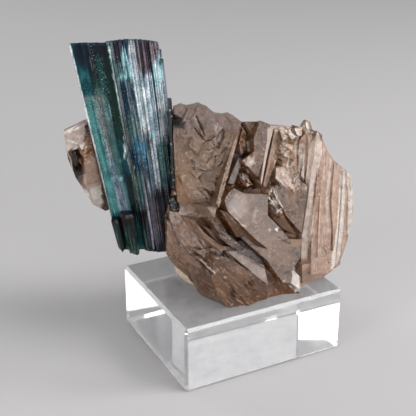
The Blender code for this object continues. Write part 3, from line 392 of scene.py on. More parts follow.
# Areas of the seen side: a colour, how much of it, how soft its edge is, and its outline across and up,
# in millimetres
QUARTZ_AREAS = [
    # The etched slope: greyer above, browner below, with smooth tan facets beside the tourmaline
    (GREY_MAUVE, 0.85, 2.0, [(-28, 99), (-28, 87), (-18, 87), (-8, 88), (-3, 86), (-3, 99)]),
    (GREY_BROWN, 0.85, 2.0, [(-28, 87), (-18, 87), (-8, 88), (-5, 82), (-12, 66), (-14, 58), (-28, 58)]),
    (PINKISH_TAN, 0.8, 0.5, [(-24.3, 80), (-20.8, 79.5), (-19.2, 74), (-18.6, 69), (-19.6, 65),
        (-22.1, 69.9), (-24.3, 76.2)]),
    (WARM_TAN, 0.9, 0.4, [(-26, 78), (-24.3, 76.2), (-22.1, 69.9), (-20, 65), (-21, 61.5), (-26, 61.5)]),
    # A notch at the slope's upper left, painted near black as shade
    (NEAR_BLACK, 0.95, 0.3, [(-26, 94.4), (-23.4, 93.6), (-20.2, 90.4), (-20.8, 88), (-23.8, 88.4),
        (-26, 89)]),
    (PALE_GREY, 0.7, 0.3, [(-12.7, 90), (-10.3, 89.5), (-10.6, 85), (-11.4, 82.7), (-12.2, 82.6),
        (-12.8, 85)]),
    (PALE_GREY, 0.45, 0.4, [(-6.2, 85.5), (-4.9, 85), (-6.1, 80), (-8.3, 75), (-10.2, 69), (-12.6, 65.5),
        (-13.6, 67), (-11.2, 72), (-9.6, 77), (-8, 81)]),
    # The recess beside the long ridge, and the channel that leads down from it
    (AMBER, 0.9, 0.4, [(-4.6, 89), (-1.3, 85), (-1.2, 79.5), (-4, 78.5), (-6.9, 79.5), (-5.8, 82.5)]),
    (DEEP_AMBER, 0.8, 0.4, [(-4.6, 85), (-2.4, 85), (-2.6, 82.5), (-4.5, 83)]),
    (DARK_BROWN, 0.7, 0.3, [(-5.6, 82.2), (-4.2, 82), (-4.4, 81), (-5.8, 81)]),
    (DEEP_AMBER, 0.85, 0.3, [(-6.9, 79.5), (-5.6, 79.5), (-8, 71), (-10, 65), (-11, 65.5), (-9.4, 70.5)]),
    (PALE_GREY, 0.5, 0.3, [(-5.6, 79), (-4, 79), (-5.4, 72.5), (-6.8, 69), (-8.6, 69), (-7.6, 73)]),
    (MILKY, 0.85, 0.3, [(-3.2, 78.4), (-0.9, 78.8), (-0.8, 77), (-2.4, 75.4), (-4.0, 76)]),
    (AMBER, 0.85, 0.4, [(-4.8, 74.5), (-3.2, 75), (0.2, 70), (-0.6, 67), (-5, 68)]),
    # The blade: its pale outer strip and the brown wall behind that
    (MILKY, 0.8, 0.2, [(4.2, 88), (8.4, 87), (7.2, 82.5), (5.2, 76), (1.6, 69), (0, 69.5), (2.6, 77),
        (3.8, 83)]),
    (WALL_BROWN, 0.9, 0.4, BLADE_WALL),
    (WALL_SHADE, 0.8, 1.2, [(5.9, 75.3), (9.4, 73.9), (8.1, 69.3), (6.6, 63.3), (3, 66.6), (4.4, 71.4)]),
    # The streaks between the blade and the right block, with white glints painted at their top
    (ROSE_GREY, 0.75, 0.5, [(9.6, 88), (23, 86), (21, 70), (20, 64), (14, 64), (9.4, 69)]),
    (HONEY, 0.9, 0.5, [(11, 84.6), (14.5, 83.6), (17.4, 81), (16.8, 70), (14.4, 69.6), (9.6, 72.4),
        (8.6, 77), (10.4, 82)]),
    (GOLDEN, 0.7, 0.4, [(15.2, 79), (17.4, 79), (17, 71.5), (14.8, 71), (15.2, 76)]),
    (PALE_ROSE, 0.95, 0.2, [(11.1, 81.0), (15.7, 79.4), (15.0, 78.3), (14.0, 77.9), (12.6, 79.4)]),
    (WHITE, 0.8, 0.15, [(11.8, 79.2), (13.0, 78.5), (12.8, 78.0), (11.6, 78.7)]),
    (PALE_ROSE, 0.95, 0.2, [(10.2, 77.7), (13.5, 77.7), (13.1, 75.8), (12.3, 75.6), (11.6, 76.8)]),
    (PALE_ROSE, 0.9, 0.2, [(8.9, 76.7), (9.9, 76.7), (12.2, 74.9), (9.6, 75.2)]),
    (ROSE_GREY, 0.9, 0.4, [(9.0, 74.8), (11.2, 74.0), (12.3, 71.4), (13.8, 70.1), (13.5, 66.2),
        (12.2, 65.4), (10.4, 66.6), (8.6, 69.6), (8.1, 72.1)]),
    (MILKY, 0.6, 0.4, [(9.8, 71.6), (12.4, 71.6), (13.3, 68), (13.2, 65.6), (11.4, 66.5), (10.2, 69)]),
    (WHITE, 0.85, 0.3, [(18.9, 77), (19.6, 76.5), (19.8, 70.2), (19.8, 67.4), (18.7, 70.2), (18, 71.4),
        (18.5, 75)]),
    (WHITE, 0.95, 0.2, [(13.4, 83.8), (14.9, 84.6), (15.8, 82.0), (15.0, 81.6)]),
    (WHITE, 0.95, 0.2, [(15.9, 84.9), (17.1, 84.6), (18.0, 82.2), (17.2, 82.1)]),
    (MILKY, 0.9, 0.2, [(9.4, 85.9), (10.9, 85.3), (11.7, 84.5), (10.1, 84.9)]),
    (WALL_SHADE, 0.8, 0.3, [(14.3, 70.3), (16.7, 69.2), (20.3, 66.4), (20.3, 64.4), (17.7, 64.4),
        (14.5, 66)]),
    # The right block: its bevel, painted near white as a highlight, pink faces and the white strips at its
    # outer edge
    (ROSE_GREY, 0.85, 0.4, [(21.5, 84), (26, 80), (42, 70), (43, 26), (17, 24), (17, 38), (19, 55),
        (21, 70)]),
    (DUSKY_ROSE, 0.55, 0.8, [(22.4, 71.5), (24.8, 72), (25.2, 60), (25, 44), (22, 44), (22.1, 60)]),
    (WARM_TAN, 0.45, 0.5, [(23.3, 71), (24.9, 73.7), (25.6, 68), (25.5, 62.6), (22.8, 59.5), (21.9, 59.3),
        (22.4, 66.3)]),
    (WARM_TAN, 0.45, 0.6, [(21.1, 60), (23.7, 63), (27.7, 56.1), (26.4, 52.6), (22.8, 53.8), (21.4, 56.7)]),
    (DUSKY_ROSE, 0.5, 2.0, [(21, 46), (33, 46), (36, 26), (17, 24), (18, 38)]),
    (BEVEL_HIGHLIGHT, 0.97, 0.2, [(22.4, 80), (21.7, 76.6), (21, 71.3), (20.6, 66.6), (20, 60.7), (19.3, 55),
        (18.8, 49), (18.2, 44), (17.8, 37), (19.9, 37), (20.4, 44), (21, 49.5), (21.5, 55), (22, 60.7),
        (22.6, 66.6), (23.7, 71.3), (25.1, 76.6), (25.1, 80), (23.2, 84)]),
    (PALE_GREY, 0.6, 0.3, [(21.6, 40.9), (24.5, 40.7), (24, 36), (21.8, 36.3)]),
    (WHITE, 0.9, 0.2, [(33.9, 68.5), (35, 68.3), (34.9, 60), (34.6, 52), (34.4, 46), (34, 41), (33, 35),
        (31, 30.2), (29.9, 31.5), (30.4, 38), (31, 43.5), (32, 49), (32.8, 57), (33.2, 63)]),
    (WHITE, 0.9, 0.2, [(36.6, 67), (38.6, 66), (38.8, 55), (38.4, 47), (37.4, 42.5), (36.5, 43.5),
        (37, 50), (37, 58)]),
    # The steps that fall to the lower left: brown risers between greyer plates
    (DEEP_AMBER, 0.8, 0.4, [(-17, 61.8), (-13, 60.6), (-3.6, 53), (-4, 50.8), (-8, 50.8), (-15.6, 57.6)]),
    (STEP_BROWN, 0.88, 0.5, [(-20.2, 58.8), (-14, 56.2), (-6.3, 48.2), (4.1, 36.4), (-3.2, 41.9),
        (-13.8, 49.2), (-19.9, 54.6)]),
    (DARK_BROWN, 0.7, 0.3, [(-6, 49.2), (-5, 49.4), (3, 41.1), (4, 37), (-0.4, 40), (-8.1, 48.5)]),
    (DEEP_AMBER, 0.85, 0.4, [(-3.1, 73.7), (0.3, 70.5), (1.9, 65), (-1, 65), (-3.5, 68.2)]),
    # The centre plate's left lobe, and the amber step at the plate's right
    (PALE_GREY, 0.4, 0.8, [(-10.6, 65.5), (-8, 66.5), (-4, 65), (-4, 60), (-9, 58), (-11.2, 61)]),
    (BRIGHT_AMBER, 0.9, 0.3, [(8.6, 57), (11.6, 57), (14, 50.5), (17.8, 46), (18, 43.8), (14, 43.8),
        (11, 48.5)]),
    # The lower left mass, the foot, the dark step at its right, and the flake beside that
    (DUSKY_ROSE, 0.6, 2.0, [(-28, 60), (-19, 60), (-15, 52), (-10, 44), (-5, 37), (-5, 30), (-28, 30)]),
    (WARM_TAN, 0.6, 1.5, [(-28, 46), (-20, 40), (-14, 34), (-4, 34), (2, 26), (2, 20), (-28, 20)]),
    (FOOT_BROWN, 0.85, 1.0, [(-20.3, 49), (-12.3, 41.7), (3.6, 29.9), (4.1, 20), (-12.5, 20), (-18, 29),
        (-20.4, 34.4)]),
    (DARK_BROWN, 0.6, 0.8, [(-15.5, 45.8), (-10.3, 45), (-8.3, 40.9), (-12.3, 39.5), (-16.8, 43.6)]),
    (STEP_GREY, 0.85, 0.25, [(-11.6, 46), (-8.4, 45.5), (-3.2, 41.2), (3.1, 37.1), (2.2, 32.5),
        (0.2, 33.9), (-6.2, 41)]),
    (DEEP_AMBER, 0.9, 0.4, [(2, 36.8), (7.7, 33.2), (13.9, 27.4), (16, 24), (16, 20), (3.6, 20),
        (4.5, 30.4)]),
    (WHITE, 0.9, 0.2, [(11.6, 35.6), (16.6, 34.4), (15.4, 28.2), (14.2, 25.4), (12.6, 29.5), (12.4, 32)]),
    # The wing: its glassy roof and lip, the hollow under them and slits beside the tourmaline painted near
    # black as shade, and the creamy end below
    (PALE_GREY, 0.85, 0.5, [(-60, 96), (-43, 98), (-45, 84), (-47.5, 80.5), (-50, 79.5), (-53.5, 79),
        (-60, 79)]),
    (ROSE_GREY, 0.6, 1.0, [(-49, 76), (-44, 76), (-42, 60), (-48, 58), (-50, 66), (-49, 72)]),
    (GREY_MAUVE, 0.7, 0.4, [(-54, 83.5), (-51.5, 83.5), (-51.5, 80.8), (-53.6, 80.5)]),
    (AMBER, 0.85, 0.4, [(-49.3, 81), (-46.3, 84), (-45.4, 76), (-47.3, 75.8), (-48.6, 73), (-50.4, 75.6),
        (-51.3, 78.8)]),
    (WHITE, 0.85, 0.25, [(-52.6, 80.3), (-50.5, 80.9), (-48.2, 81), (-49.8, 79.3), (-51.4, 78.6),
        (-52.6, 79)]),
    (NEAR_BLACK, 0.95, 0.25, [(-47.4, 89.5), (-46.7, 88), (-46.1, 82), (-46.9, 82.5), (-47.9, 86)]),
    (MILKY, 0.7, 0.3, [(-56, 86), (-51.4, 90), (-46, 89), (-46, 87.6), (-51.4, 85.6), (-56, 85)]),
    (NEAR_BLACK, 0.97, 0.25, [(-52.7, 78.8), (-49.9, 77.9), (-49.4, 73.5), (-49.4, 70.5), (-51.2, 66.8),
        (-50.2, 65.3), (-51.8, 66), (-53, 70.4), (-53.6, 73.4)]),
    (NEAR_BLACK, 0.95, 0.2, [(-47.5, 87), (-46.4, 87), (-46.3, 83.1), (-48.2, 82), (-48.8, 81.2),
        (-47.9, 83.6)]),
    (WHITE, 0.85, 1.4, [(-50, 62.5), (-42, 65), (-40, 50), (-50, 50)]),
]

# Where the quartz is broken into small facets, some of them painted bright as glints: how much, how soft its
# edge is, and the outline
BROKEN_AREAS = [
    (0.75, 0.5, [(-4.6, 89), (-1.3, 85), (-0.8, 75.4), (-4, 75.4), (-6.9, 79.5), (-5.8, 82.5)]),
    (0.9, 0.4, [(-4.8, 74.5), (-3.2, 75), (0.2, 70), (-0.6, 66.5), (-5, 67.5)]),
    (0.7, 0.6, [(10.6, 86), (20, 86), (20, 70), (20, 64), (14, 63), (9.6, 69), (8.6, 76)]),
    (0.45, 0.6, [(23, 73), (25, 75), (25.6, 62), (22.6, 58), (21.6, 60)]),
    (0.9, 0.5, [(4.6, 63), (7, 65), (10.6, 58), (9.6, 54.5), (6.5, 56)]),
    (0.6, 0.6, [(19, 87), (25, 87), (24, 81), (19.5, 81)]),
    (0.5, 1.0, [(-52, 82), (-45, 86), (-45, 74), (-50, 73)]),
]

# Lines on the seen side: a colour, how much of it, its width, its depth (raised if negative), and its points
QUARTZ_LINES = [
    # The etched slope's cracks: grooves darkened with painted shadow under their edges
    (DARK_BROWN, 0.85, 0.30, 1.0, [(-17.9, 79.1), (-17.2, 81.3), (-16.6, 83), (-15.5, 84.4),
        (-13.5, 84.6), (-12.4, 86)]),
    (DARK_BROWN, 0.85, 0.34, 1.0, [(-15.5, 84.4), (-13.4, 84.5), (-12.9, 83), (-12.2, 82.3),
        (-11.6, 82.3), (-11.2, 83), (-10.8, 84.1), (-10.2, 85.3), (-9.9, 87), (-10, 88)]),
    (DARK_BROWN, 0.9, 0.26, 0.6, [(-17.6, 92.3), (-17, 90.6), (-16.6, 89.2), (-16, 87.6), (-15.7, 86.2)]),
    (DARK_BROWN, 0.8, 0.26, 1.0, [(-18.4, 88.9), (-17.6, 87), (-16.9, 86), (-16.4, 84.9)]),
    (DARK_BROWN, 0.8, 0.28, 1.0, [(-21.2, 91), (-20.6, 92.4), (-20, 94), (-19.8, 95)]),
    (DARK_BROWN, 0.8, 0.26, 1.0, [(-14.9, 81), (-13.9, 81.4), (-12.9, 82.2)]),
    (DARK_BROWN, 0.8, 0.28, 1.0, [(-12.9, 79.2), (-12, 79.3), (-11, 80.3), (-10.2, 80.9), (-9.6, 82.2)]),
    (DARK_BROWN, 0.8, 0.26, 1.0, [(-16.1, 76.7), (-15.6, 77.7), (-15, 78.4), (-13.8, 79.4)]),
    (DARK_BROWN, 0.85, 0.32, 1.0, [(-12.9, 79.2), (-13.3, 77.4), (-13.6, 75.9), (-14.3, 74.6),
        (-15.4, 73.9), (-16.5, 73.3), (-17.2, 72.6), (-17.9, 71.4)]),
    (DARK_BROWN, 0.85, 0.55, 1.0, [(-10.6, 77), (-11.2, 76.2), (-11.9, 75.8)]),
    (DARK_BROWN, 0.8, 0.5, 0.8, [(-12.6, 71.4), (-12.4, 71.1)]),
    (DARK_BROWN, 0.8, 0.45, 0.8, [(-8.6, 83.6), (-8.4, 83.1)]),
    (DARK_BROWN, 0.75, 0.4, 0.8, [(-9.3, 81.7), (-9.2, 81.1)]),
    (DARK_BROWN, 0.7, 0.5, 0.8, [(-19.6, 77.4), (-18.9, 77.2), (-19, 76.4)]),
    (DARK_BROWN, 0.7, 0.4, 0.8, [(-19.2, 74.9), (-18.7, 74.4)]),
    (DARK_BROWN, 0.8, 0.32, 1.0, [(-18.7, 68.4), (-17.4, 68.4), (-16.2, 67.6), (-15.4, 66.4)]),
    (DARK_BROWN, 0.8, 0.30, 1.0, [(-18.2, 67.2), (-17.2, 66.2), (-16.4, 65.2), (-15.8, 63.8)]),
    (DARK_BROWN, 0.8, 0.32, 1.0, [(-15, 67.5), (-13.8, 66.9), (-12.8, 65.7), (-12.4, 64.2)]),
    (DARK_BROWN, 0.7, 0.26, 1.0, [(-17.6, 76.2), (-16.8, 75.6), (-16.4, 76.2), (-15.8, 75.4)]),
    (DARK_BROWN, 0.7, 0.26, 1.0, [(-17.8, 74.6), (-16.8, 74.4), (-15.9, 75)]),
    # Hatch marks beside the long crack, darkened with painted shadow
    (DARK_BROWN, 0.6, 0.20, 0.5, [(-17.9, 87.6), (-16.5, 88.6)]),
    (DARK_BROWN, 0.6, 0.20, 0.5, [(-17.5, 86.8), (-16.2, 87.8)]),
    (DARK_BROWN, 0.6, 0.20, 0.5, [(-17.1, 86.0), (-15.9, 87.0)]),
    (DARK_BROWN, 0.6, 0.20, 0.5, [(-16.7, 85.2), (-15.7, 86.1)]),
    # Light lips under the cracks
    (PALE_GREY, 0.4, 0.28, 0.0, [(-18.1, 92.2), (-17.5, 90.4), (-17, 89)]),
    (PALE_GREY, 0.6, 0.24, -0.6, [(-16.9, 80.8), (-16.2, 82.4), (-15.2, 83.8)]),
    (MILKY, 0.7, 0.30, -0.6, [(-11.7, 72.6), (-11.9, 71.2), (-11.5, 70.4)]),
    (PALE_GREY, 0.6, 0.26, -0.6, [(-16.8, 72.3), (-15.4, 73.1), (-14.4, 73.8)]),
    (PALE_GREY, 0.6, 0.26, -0.6, [(-21, 90.8), (-20.4, 92.2), (-19.9, 93.6)]),
    (PALE_GREY, 0.6, 0.30, -0.6, [(-18.4, 69.3), (-17.2, 69.3), (-15.8, 68.4), (-14.9, 67.2)]),
    (PALE_GREY, 0.6, 0.26, -0.6, [(-18.6, 66.6), (-17.6, 65.6), (-16.9, 64.4)]),
    # Glints in the recess and below the blade
    (WHITE, 0.95, 0.36, -0.5, [(-3.4, 73.4), (-3.5, 71.6), (-3.5, 70.2)]),
    (WHITE, 0.95, 0.40, -0.5, [(-2.6, 71.4), (-2.1, 70.2), (-1.5, 69.2)]),
    (WHITE, 0.9, 0.30, -0.5, [(-4.3, 71.6), (-4.2, 70.4)]),
    (WHITE, 0.8, 0.30, -0.5, [(-3.6, 88.8), (-2.4, 87), (-1.2, 85)]),
    (DARK_BROWN, 0.8, 0.30, 0.8, [(-3.2, 89.2), (-2, 87.2), (-0.8, 85)]),
    (MILKY, 0.9, 0.5, -0.4, [(-2.2, 83.4), (-1.9, 82), (-1.7, 80.8)]),
    (DUSKY_ROSE, 0.7, 0.3, 0.6, [(0.9, 88), (0.2, 84.6)]),
    # White slashes where the bands cross, right of the centre plate: painted glints
    (DARK_BROWN, 0.8, 0.5, 0.6, [(6.9, 63.4), (8.2, 60.4), (9.4, 57.2)]),
    (WHITE, 1.0, 0.50, -1.2, [(5.6, 62.6), (7.3, 59.8), (8.7, 56.7)]),
    (WHITE, 1.0, 0.46, -1.2, [(7.7, 64), (8.4, 61.7), (9.2, 59.4)]),
    (WHITE, 1.0, 0.40, -1.2, [(7.2, 61.2), (8.3, 60.4)]),
    (WHITE, 0.9, 0.36, -1.2, [(8.1, 58.5), (10.2, 56.2)]),
    (WHITE, 0.9, 0.36, -0.8, [(8.3, 66.3), (7.8, 64.7)]),
    # The blade's wall, and the facets between it and the right block, with white glints painted on them
    (WALL_BROWN, 0.9, 0.8, 0.0, [(8.5, 85.6), (7.1, 78.8), (4.9, 71.2)]),
    (GREY_BROWN, 0.6, 0.45, -0.3, [(10.2, 84.2), (9.1, 76.5), (7.6, 69)]),
    (DEEP_AMBER, 0.75, 0.3, 0.6, [(10.6, 80.6), (12.4, 79.4), (13.9, 77.7), (15.2, 78.2)]),
    (DEEP_AMBER, 0.75, 0.3, 0.6, [(9.6, 77.9), (10.4, 77), (11.8, 76.2), (12.6, 75.2)]),
    (DEEP_AMBER, 0.75, 0.3, 0.6, [(8.5, 76.2), (9.6, 75), (11.2, 74.5)]),
    (DARK_BROWN, 0.75, 0.35, 0.8, [(14.4, 83.4), (15.6, 81.2), (16.8, 80.6)]),
    (WHITE, 0.9, 0.36, -0.6, [(13.8, 74.7), (13.3, 71.9)]),
    (WHITE, 0.9, 0.32, -0.6, [(15.2, 73.4), (14.8, 71.7)]),
    (WHITE, 0.9, 0.36, -0.6, [(8.7, 69.3), (10.5, 66.8)]),
    (WHITE, 0.9, 0.34, -0.6, [(18.1, 70.3), (18.6, 68.9), (20.2, 66.6)]),
    (WHITE, 0.95, 0.50, -0.5, [(21.9, 86.3), (21.9, 84.2), (22.5, 83)]),
    (DARK_BROWN, 0.7, 0.30, 0.6, [(21.2, 84.8), (21.6, 83.2)]),
    (DARK_BROWN, 0.8, 0.22, 0.6, [(22.9, 83), (22.7, 81.3), (22.4, 79.6)]),
    # Streaks, and ticks in the brown between them, with small white glints painted among them
    (MILKY, 0.85, 0.32, -0.6, [(15.2, 71.6), (15.4, 68.6), (15.2, 66.8)]),
    (MILKY, 0.8, 0.26, -0.6, [(14, 74), (13.9, 70.6), (13.8, 68.6)]),
    (WHITE, 0.9, 0.5, -0.4, [(15.5, 72.4), (15.9, 72.2)]),
    (WHITE, 0.85, 0.26, -0.5, [(16.6, 68.4), (17.4, 67)]),
    (WHITE, 0.85, 0.26, -0.5, [(17.7, 68.6), (18.1, 67.2)]),
    (MILKY, 0.7, 0.3, -0.6, [(16.8, 80), (16.9, 75), (16.4, 71)]),
    (MILKY, 0.7, 0.3, -0.6, [(18.2, 80), (17.9, 76)]),
    (DUSKY_ROSE, 0.8, 0.3, 0.6, [(20.6, 79), (20.2, 72), (19.9, 66)]),
    (AMBER, 0.7, 0.5, 0.3, [(12.9, 65), (12.6, 62.4), (13.2, 60), (12.8, 58.4)]),
    (AMBER, 0.7, 0.6, 0.3, [(15.4, 65), (15.4, 61), (15.7, 57), (15.3, 54)]),
    (AMBER, 0.6, 0.35, 0.3, [(16.6, 63.4), (17.6, 62.2), (16.9, 60.6), (18.2, 60.4)]),
    # The right block's lines
    (MILKY, 0.85, 0.9, -0.7, [(28.9, 73), (28.4, 68), (27.6, 61.8), (27.5, 56), (27.7, 52), (28, 46.7)]),
    (MILKY, 0.6, 0.6, -0.6, [(25.9, 77.4), (26.1, 72), (26, 66)]),
    (ROSE_GREY, 0.9, 0.9, 0.0, [(25.4, 64), (24.6, 56), (23.6, 46), (22.9, 38.6)]),
    (DUSKY_ROSE, 0.5, 0.3, 0.2, [(26.8, 76), (26.8, 66), (26.4, 58)]),
    (DUSKY_ROSE, 0.5, 0.3, 0.2, [(29.8, 72), (29.3, 62), (28.8, 54)]),
    (DUSKY_ROSE, 0.5, 0.3, 0.3, [(32.2, 67), (32, 58), (31.2, 49), (30.2, 42)]),
    (DUSKY_ROSE, 0.6, 0.4, 0.4, [(35.8, 67), (35.8, 57), (35.4, 47)]),
    (DARK_BROWN, 0.7, 0.3, 0.8, [(21.2, 47), (20.6, 44.6), (20.5, 42)]),
    (WHITE, 0.8, 0.24, -0.6, [(20.3, 49), (20.6, 46)]),
    (WHITE, 0.7, 0.4, -0.4, [(24, 61.3), (24.3, 61.1)]),
    (MILKY, 0.6, 0.22, -0.5, [(25.6, 41.6), (28.2, 39)]),
    (MILKY, 0.6, 0.22, -0.5, [(26.2, 42.4), (28.6, 40.4)]),
    (DARK_BROWN, 0.6, 0.3, 0.6, [(26, 40.6), (26.8, 39.2), (27.6, 38)]),
    (DARK_BROWN, 0.8, 0.4, 0.7, [(28.3, 34.4), (29, 34)]),
    # The centre plate's curved marks, feathers and dots
    (MILKY, 0.35, 0.8, 0.0, [(-8.9, 61.8), (-7.9, 60), (-7, 58.6)]),
    (MILKY, 0.6, 0.3, -0.5, [(-9.9, 58.6), (-8.6, 56.8), (-6.8, 55.6)]),
    (MILKY, 0.6, 0.3, -0.5, [(-8.6, 58.6), (-7.2, 56.6), (-5.6, 55.4)]),
    (MILKY, 0.22, 0.9, 0.0, [(-1.2, 60.9), (-1.9, 59), (-2.6, 57), (-1.8, 56.2)]),
    (CREAM, 0.8, 0.55, -0.3, [(2.5, 53.7), (2.6, 52.9)]),
    (WHITE, 0.9, 0.8, -0.3, [(4.9, 53.2), (5.1, 52.7)]),
    (CREAM, 0.7, 0.4, -0.3, [(-1.2, 54.2), (-1, 54)]),
    (DARK_BROWN, 0.8, 0.26, 0.8, [(5.8, 52.6), (8.9, 52)]),
    (DARK_BROWN, 0.5, 0.24, 0.6, [(4.5, 50), (9.4, 46.4), (12, 45)]),
    # The lower left mass: its bright line, slits and fibres
    (WHITE, 0.85, 0.42, -0.8, [(-20.4, 44.2), (-19.6, 43), (-18.4, 41.5), (-16.9, 40)]),
    (DARK_BROWN, 0.9, 0.5, 1.2, [(-20.5, 42.8), (-18.9, 41), (-17.4, 39.4)]),
    (DARK_BROWN, 0.8, 0.36, 1.2, [(-24, 47.4), (-22.4, 45), (-21.2, 43.2)]),
    (DARK_BROWN, 0.8, 0.34, 1.2, [(-20, 50.6), (-18, 47.6), (-15.6, 45.4)]),
    (PALE_GREY, 0.7, 0.4, -0.8, [(-20.4, 51.8), (-19.4, 48.6), (-18.3, 46.2)]),
    (PALE_GREY, 0.6, 0.3, -0.8, [(-23.4, 50.4), (-21.8, 48), (-20.6, 46)]),
    (PALE_GREY, 0.6, 0.28, -0.6, [(-17.6, 44), (-16.4, 42.4), (-15.2, 40.4)]),
    (DARK_BROWN, 0.7, 0.3, 1.0, [(-17, 43.2), (-15.6, 41.4), (-14.6, 39.6)]),
    (PALE_GREY, 0.5, 0.3, -0.6, [(-27.6, 52), (-26.4, 48), (-25.2, 44.6)]),
    (DARK_BROWN, 0.6, 0.3, 1.0, [(-26.4, 56), (-25.6, 51), (-24.6, 47)]),
    (DARK_BROWN, 0.8, 0.35, 1.0, [(-14, 37.4), (-13.2, 36.2), (-12, 35.4)]),
    (MILKY, 0.8, 0.4, -0.4, [(-13.4, 38), (-13.1, 37.7)]),
    # Dark crumbs of tourmaline down the lower left mass's edge
    (NEAR_BLACK, 0.75, 0.5, 0.4, [(-26.5, 62), (-26, 58.5), (-26.4, 55)]),
    (NEAR_BLACK, 0.65, 0.4, 0.4, [(-25.2, 60.8), (-24.4, 58), (-24.6, 55.6)]),
    (NEAR_BLACK, 0.65, 0.35, 0.3, [(-24.2, 63), (-22.8, 61.4), (-22, 60)]),
    (NEAR_BLACK, 0.5, 0.3, 0.3, [(-25.8, 54), (-25, 51.4), (-25.2, 49.6)]),
    # The wing's bright reflection, creamy edges and rim
    (WHITE, 0.9, 0.9, -0.3, [(-53.8, 85.8), (-52, 86.2), (-50.4, 86.4)]),
    (WHITE, 0.6, 0.4, -0.3, [(-54.6, 83.2), (-52.6, 82.2), (-51, 80.8)]),
    (CREAM, 0.9, 0.5, -0.4, [(-48, 78.7), (-48.2, 77.2), (-48.9, 76.3)]),
    (CREAM, 0.8, 0.4, -0.4, [(-49.9, 74.2), (-49.6, 73)]),
    (MILKY, 0.8, 0.5, -0.3, [(-55.6, 84), (-54.8, 78.6), (-53.6, 74.6), (-53, 70.4), (-51.8, 66.6),
        (-50, 64.4), (-48.2, 61.6)]),
    (PALE_GREY, 0.7, 0.8, -0.3, [(-49.2, 69.4), (-48.8, 66), (-47.6, 62.4)]),
]


def smooth_step(value, start, end):
    """0 up to start and 1 from end, softly between them, or the other way round when start is the larger."""
    share = np.clip((value - start) / (end - start), 0, 1)
    return share * share * (3 - 2 * share)


def near_lines(x, z, lines, reach):
    """How far points are, across and up, from the nearest of some broken lines, up to a reach."""
    nearest = np.full(len(x), float(reach))
    for line in lines:
        (left, low), (right, high) = np.min(line, axis=0) - reach, np.max(line, axis=0) + reach
        close = np.flatnonzero((x > left) & (x < right) & (z > low) & (z < high))
        near_x, near_z, found = x[close], z[close], nearest[close]
        for (ax, az), (bx, bz) in zip(line, line[1:]):
            along_x, along_z = bx - ax, bz - az
            share = ((near_x - ax) * along_x + (near_z - az) * along_z) / (along_x ** 2 + along_z ** 2)
            share = np.clip(share, 0, 1)
            found = np.minimum(found, np.hypot(near_x - ax - share * along_x, near_z - az - share * along_z))
        nearest[close] = found
    return nearest


def within(x, z, outline, soft):
    """1 for points inside an outline, 0 outside it, and between them over a soft edge."""
    closed = outline + outline[:1]
    inside = np.zeros(len(x), bool)
    for (ax, az), (bx, bz) in zip(closed, closed[1:]):
        if az != bz:
            inside ^= ((az > z) != (bz > z)) & (x < (bx - ax) * (z - az) / (bz - az) + ax)
    reach = near_lines(x, z, [closed], soft)
    return smooth_step(np.where(inside, reach, -reach), -soft, soft)


def points_of(piece):
    """A piece's points, in millimetres, and the normals at them."""
    count = len(piece.data.vertices)
    places = np.zeros(count * 3)
    normals = np.zeros(count * 3, np.float32)
    piece.data.vertices.foreach_get("co", places)
    piece.data.vertex_normals.foreach_get("vector", normals)
    return places.reshape(-1, 3) * 1000, normals.reshape(-1, 3).astype(float)


def move_points(piece, places):
    """Puts a piece's points at new places, in millimetres."""
    piece.data.vertices.foreach_set("co", (places / 1000).ravel())
    piece.data.update()


def keep_value(piece, name, values):
    """Keeps a number at every point, for the piece's material to read."""
    layer = piece.data.attributes.new(name, "FLOAT", "POINT")
    layer.data.foreach_set("value", np.asarray(values, np.float32))


def keep_color(piece, name, colors):
    """Keeps a colour and a share at every point, for the piece's material to read."""
    layer = piece.data.color_attributes.new(name, "FLOAT_COLOR", "POINT")
    layer.data.foreach_set("color", np.asarray(colors, np.float32).ravel())


def wandering(places, size, seed):
    """A smooth push for each point, at most about 1 long, that changes over a size in millimetres."""
    shift = Vector((seed * 17.3, seed * 5.1, seed * 9.7))
    return np.array([noise.noise_vector(Vector(place) / size + shift) for place in places])


def painted(paint, color, share):
    """Colours and how much is painted, with one more colour laid over them by a share at every point."""
    share = share[:, None]
    return paint * (1 - share) + np.append(color[:3], 1.0) * share


def seen_side(x, y):
    """Which points lie on the side that the areas and lines are drawn on."""
    return (y < 5) | ((x < -43) & (y < 20.5))


def etched(x, y, z):
    """Which points lie on the etched slope, softly."""
    return smooth_step(x, -6.0, -10.0) * smooth_step(z, 62, 66) * smooth_step(y, 5, 1)


def fibrous(x, y, z):
    """Which points lie on the rough mass at the lower left, softly."""
    return smooth_step(x + 0.5 * (z - 40), -4.0, -9.0) * smooth_step(z, 60, 54) * smooth_step(y, 12, 6)


def longest_in_quartz(places):
    """How long an edge of the quartz may be at each place."""
    x, y, z = places.T
    seen = seen_side(x, y)
    allowed = np.where(seen, PLATE_GRAIN, BACK_GRAIN)
    allowed = np.where(etched(x, y, z) > 0, SLOPE_GRAIN, allowed)
    allowed = np.where(fibrous(x, y, z) > 0, BROKEN_GRAIN, allowed)
    for strength, soft, outline in BROKEN_AREAS:
        near = (within(x, z, outline, 1.0) > 0) & seen
        allowed = np.where(near, np.minimum(allowed, BROKEN_GRAIN), allowed)
    sharp_edges = [outline + outline[:1] for color, strength, soft, outline in QUARTZ_AREAS if soft < 0.5]
    from_lines = near_lines(x, z, [line[4] for line in QUARTZ_LINES], 1.6)
    from_edges = near_lines(x, z, sharp_edges, 1.4)
    allowed = np.where(seen, np.minimum(allowed, LINE_GRAIN + 0.75 * from_lines), allowed)
    return np.where(seen, np.minimum(allowed, 1.7 * LINE_GRAIN + 0.75 * from_edges), allowed)


quartz = copy_of("smoky_quartz", "quartz_mass")
cut_long_edges(quartz, longest_in_quartz)

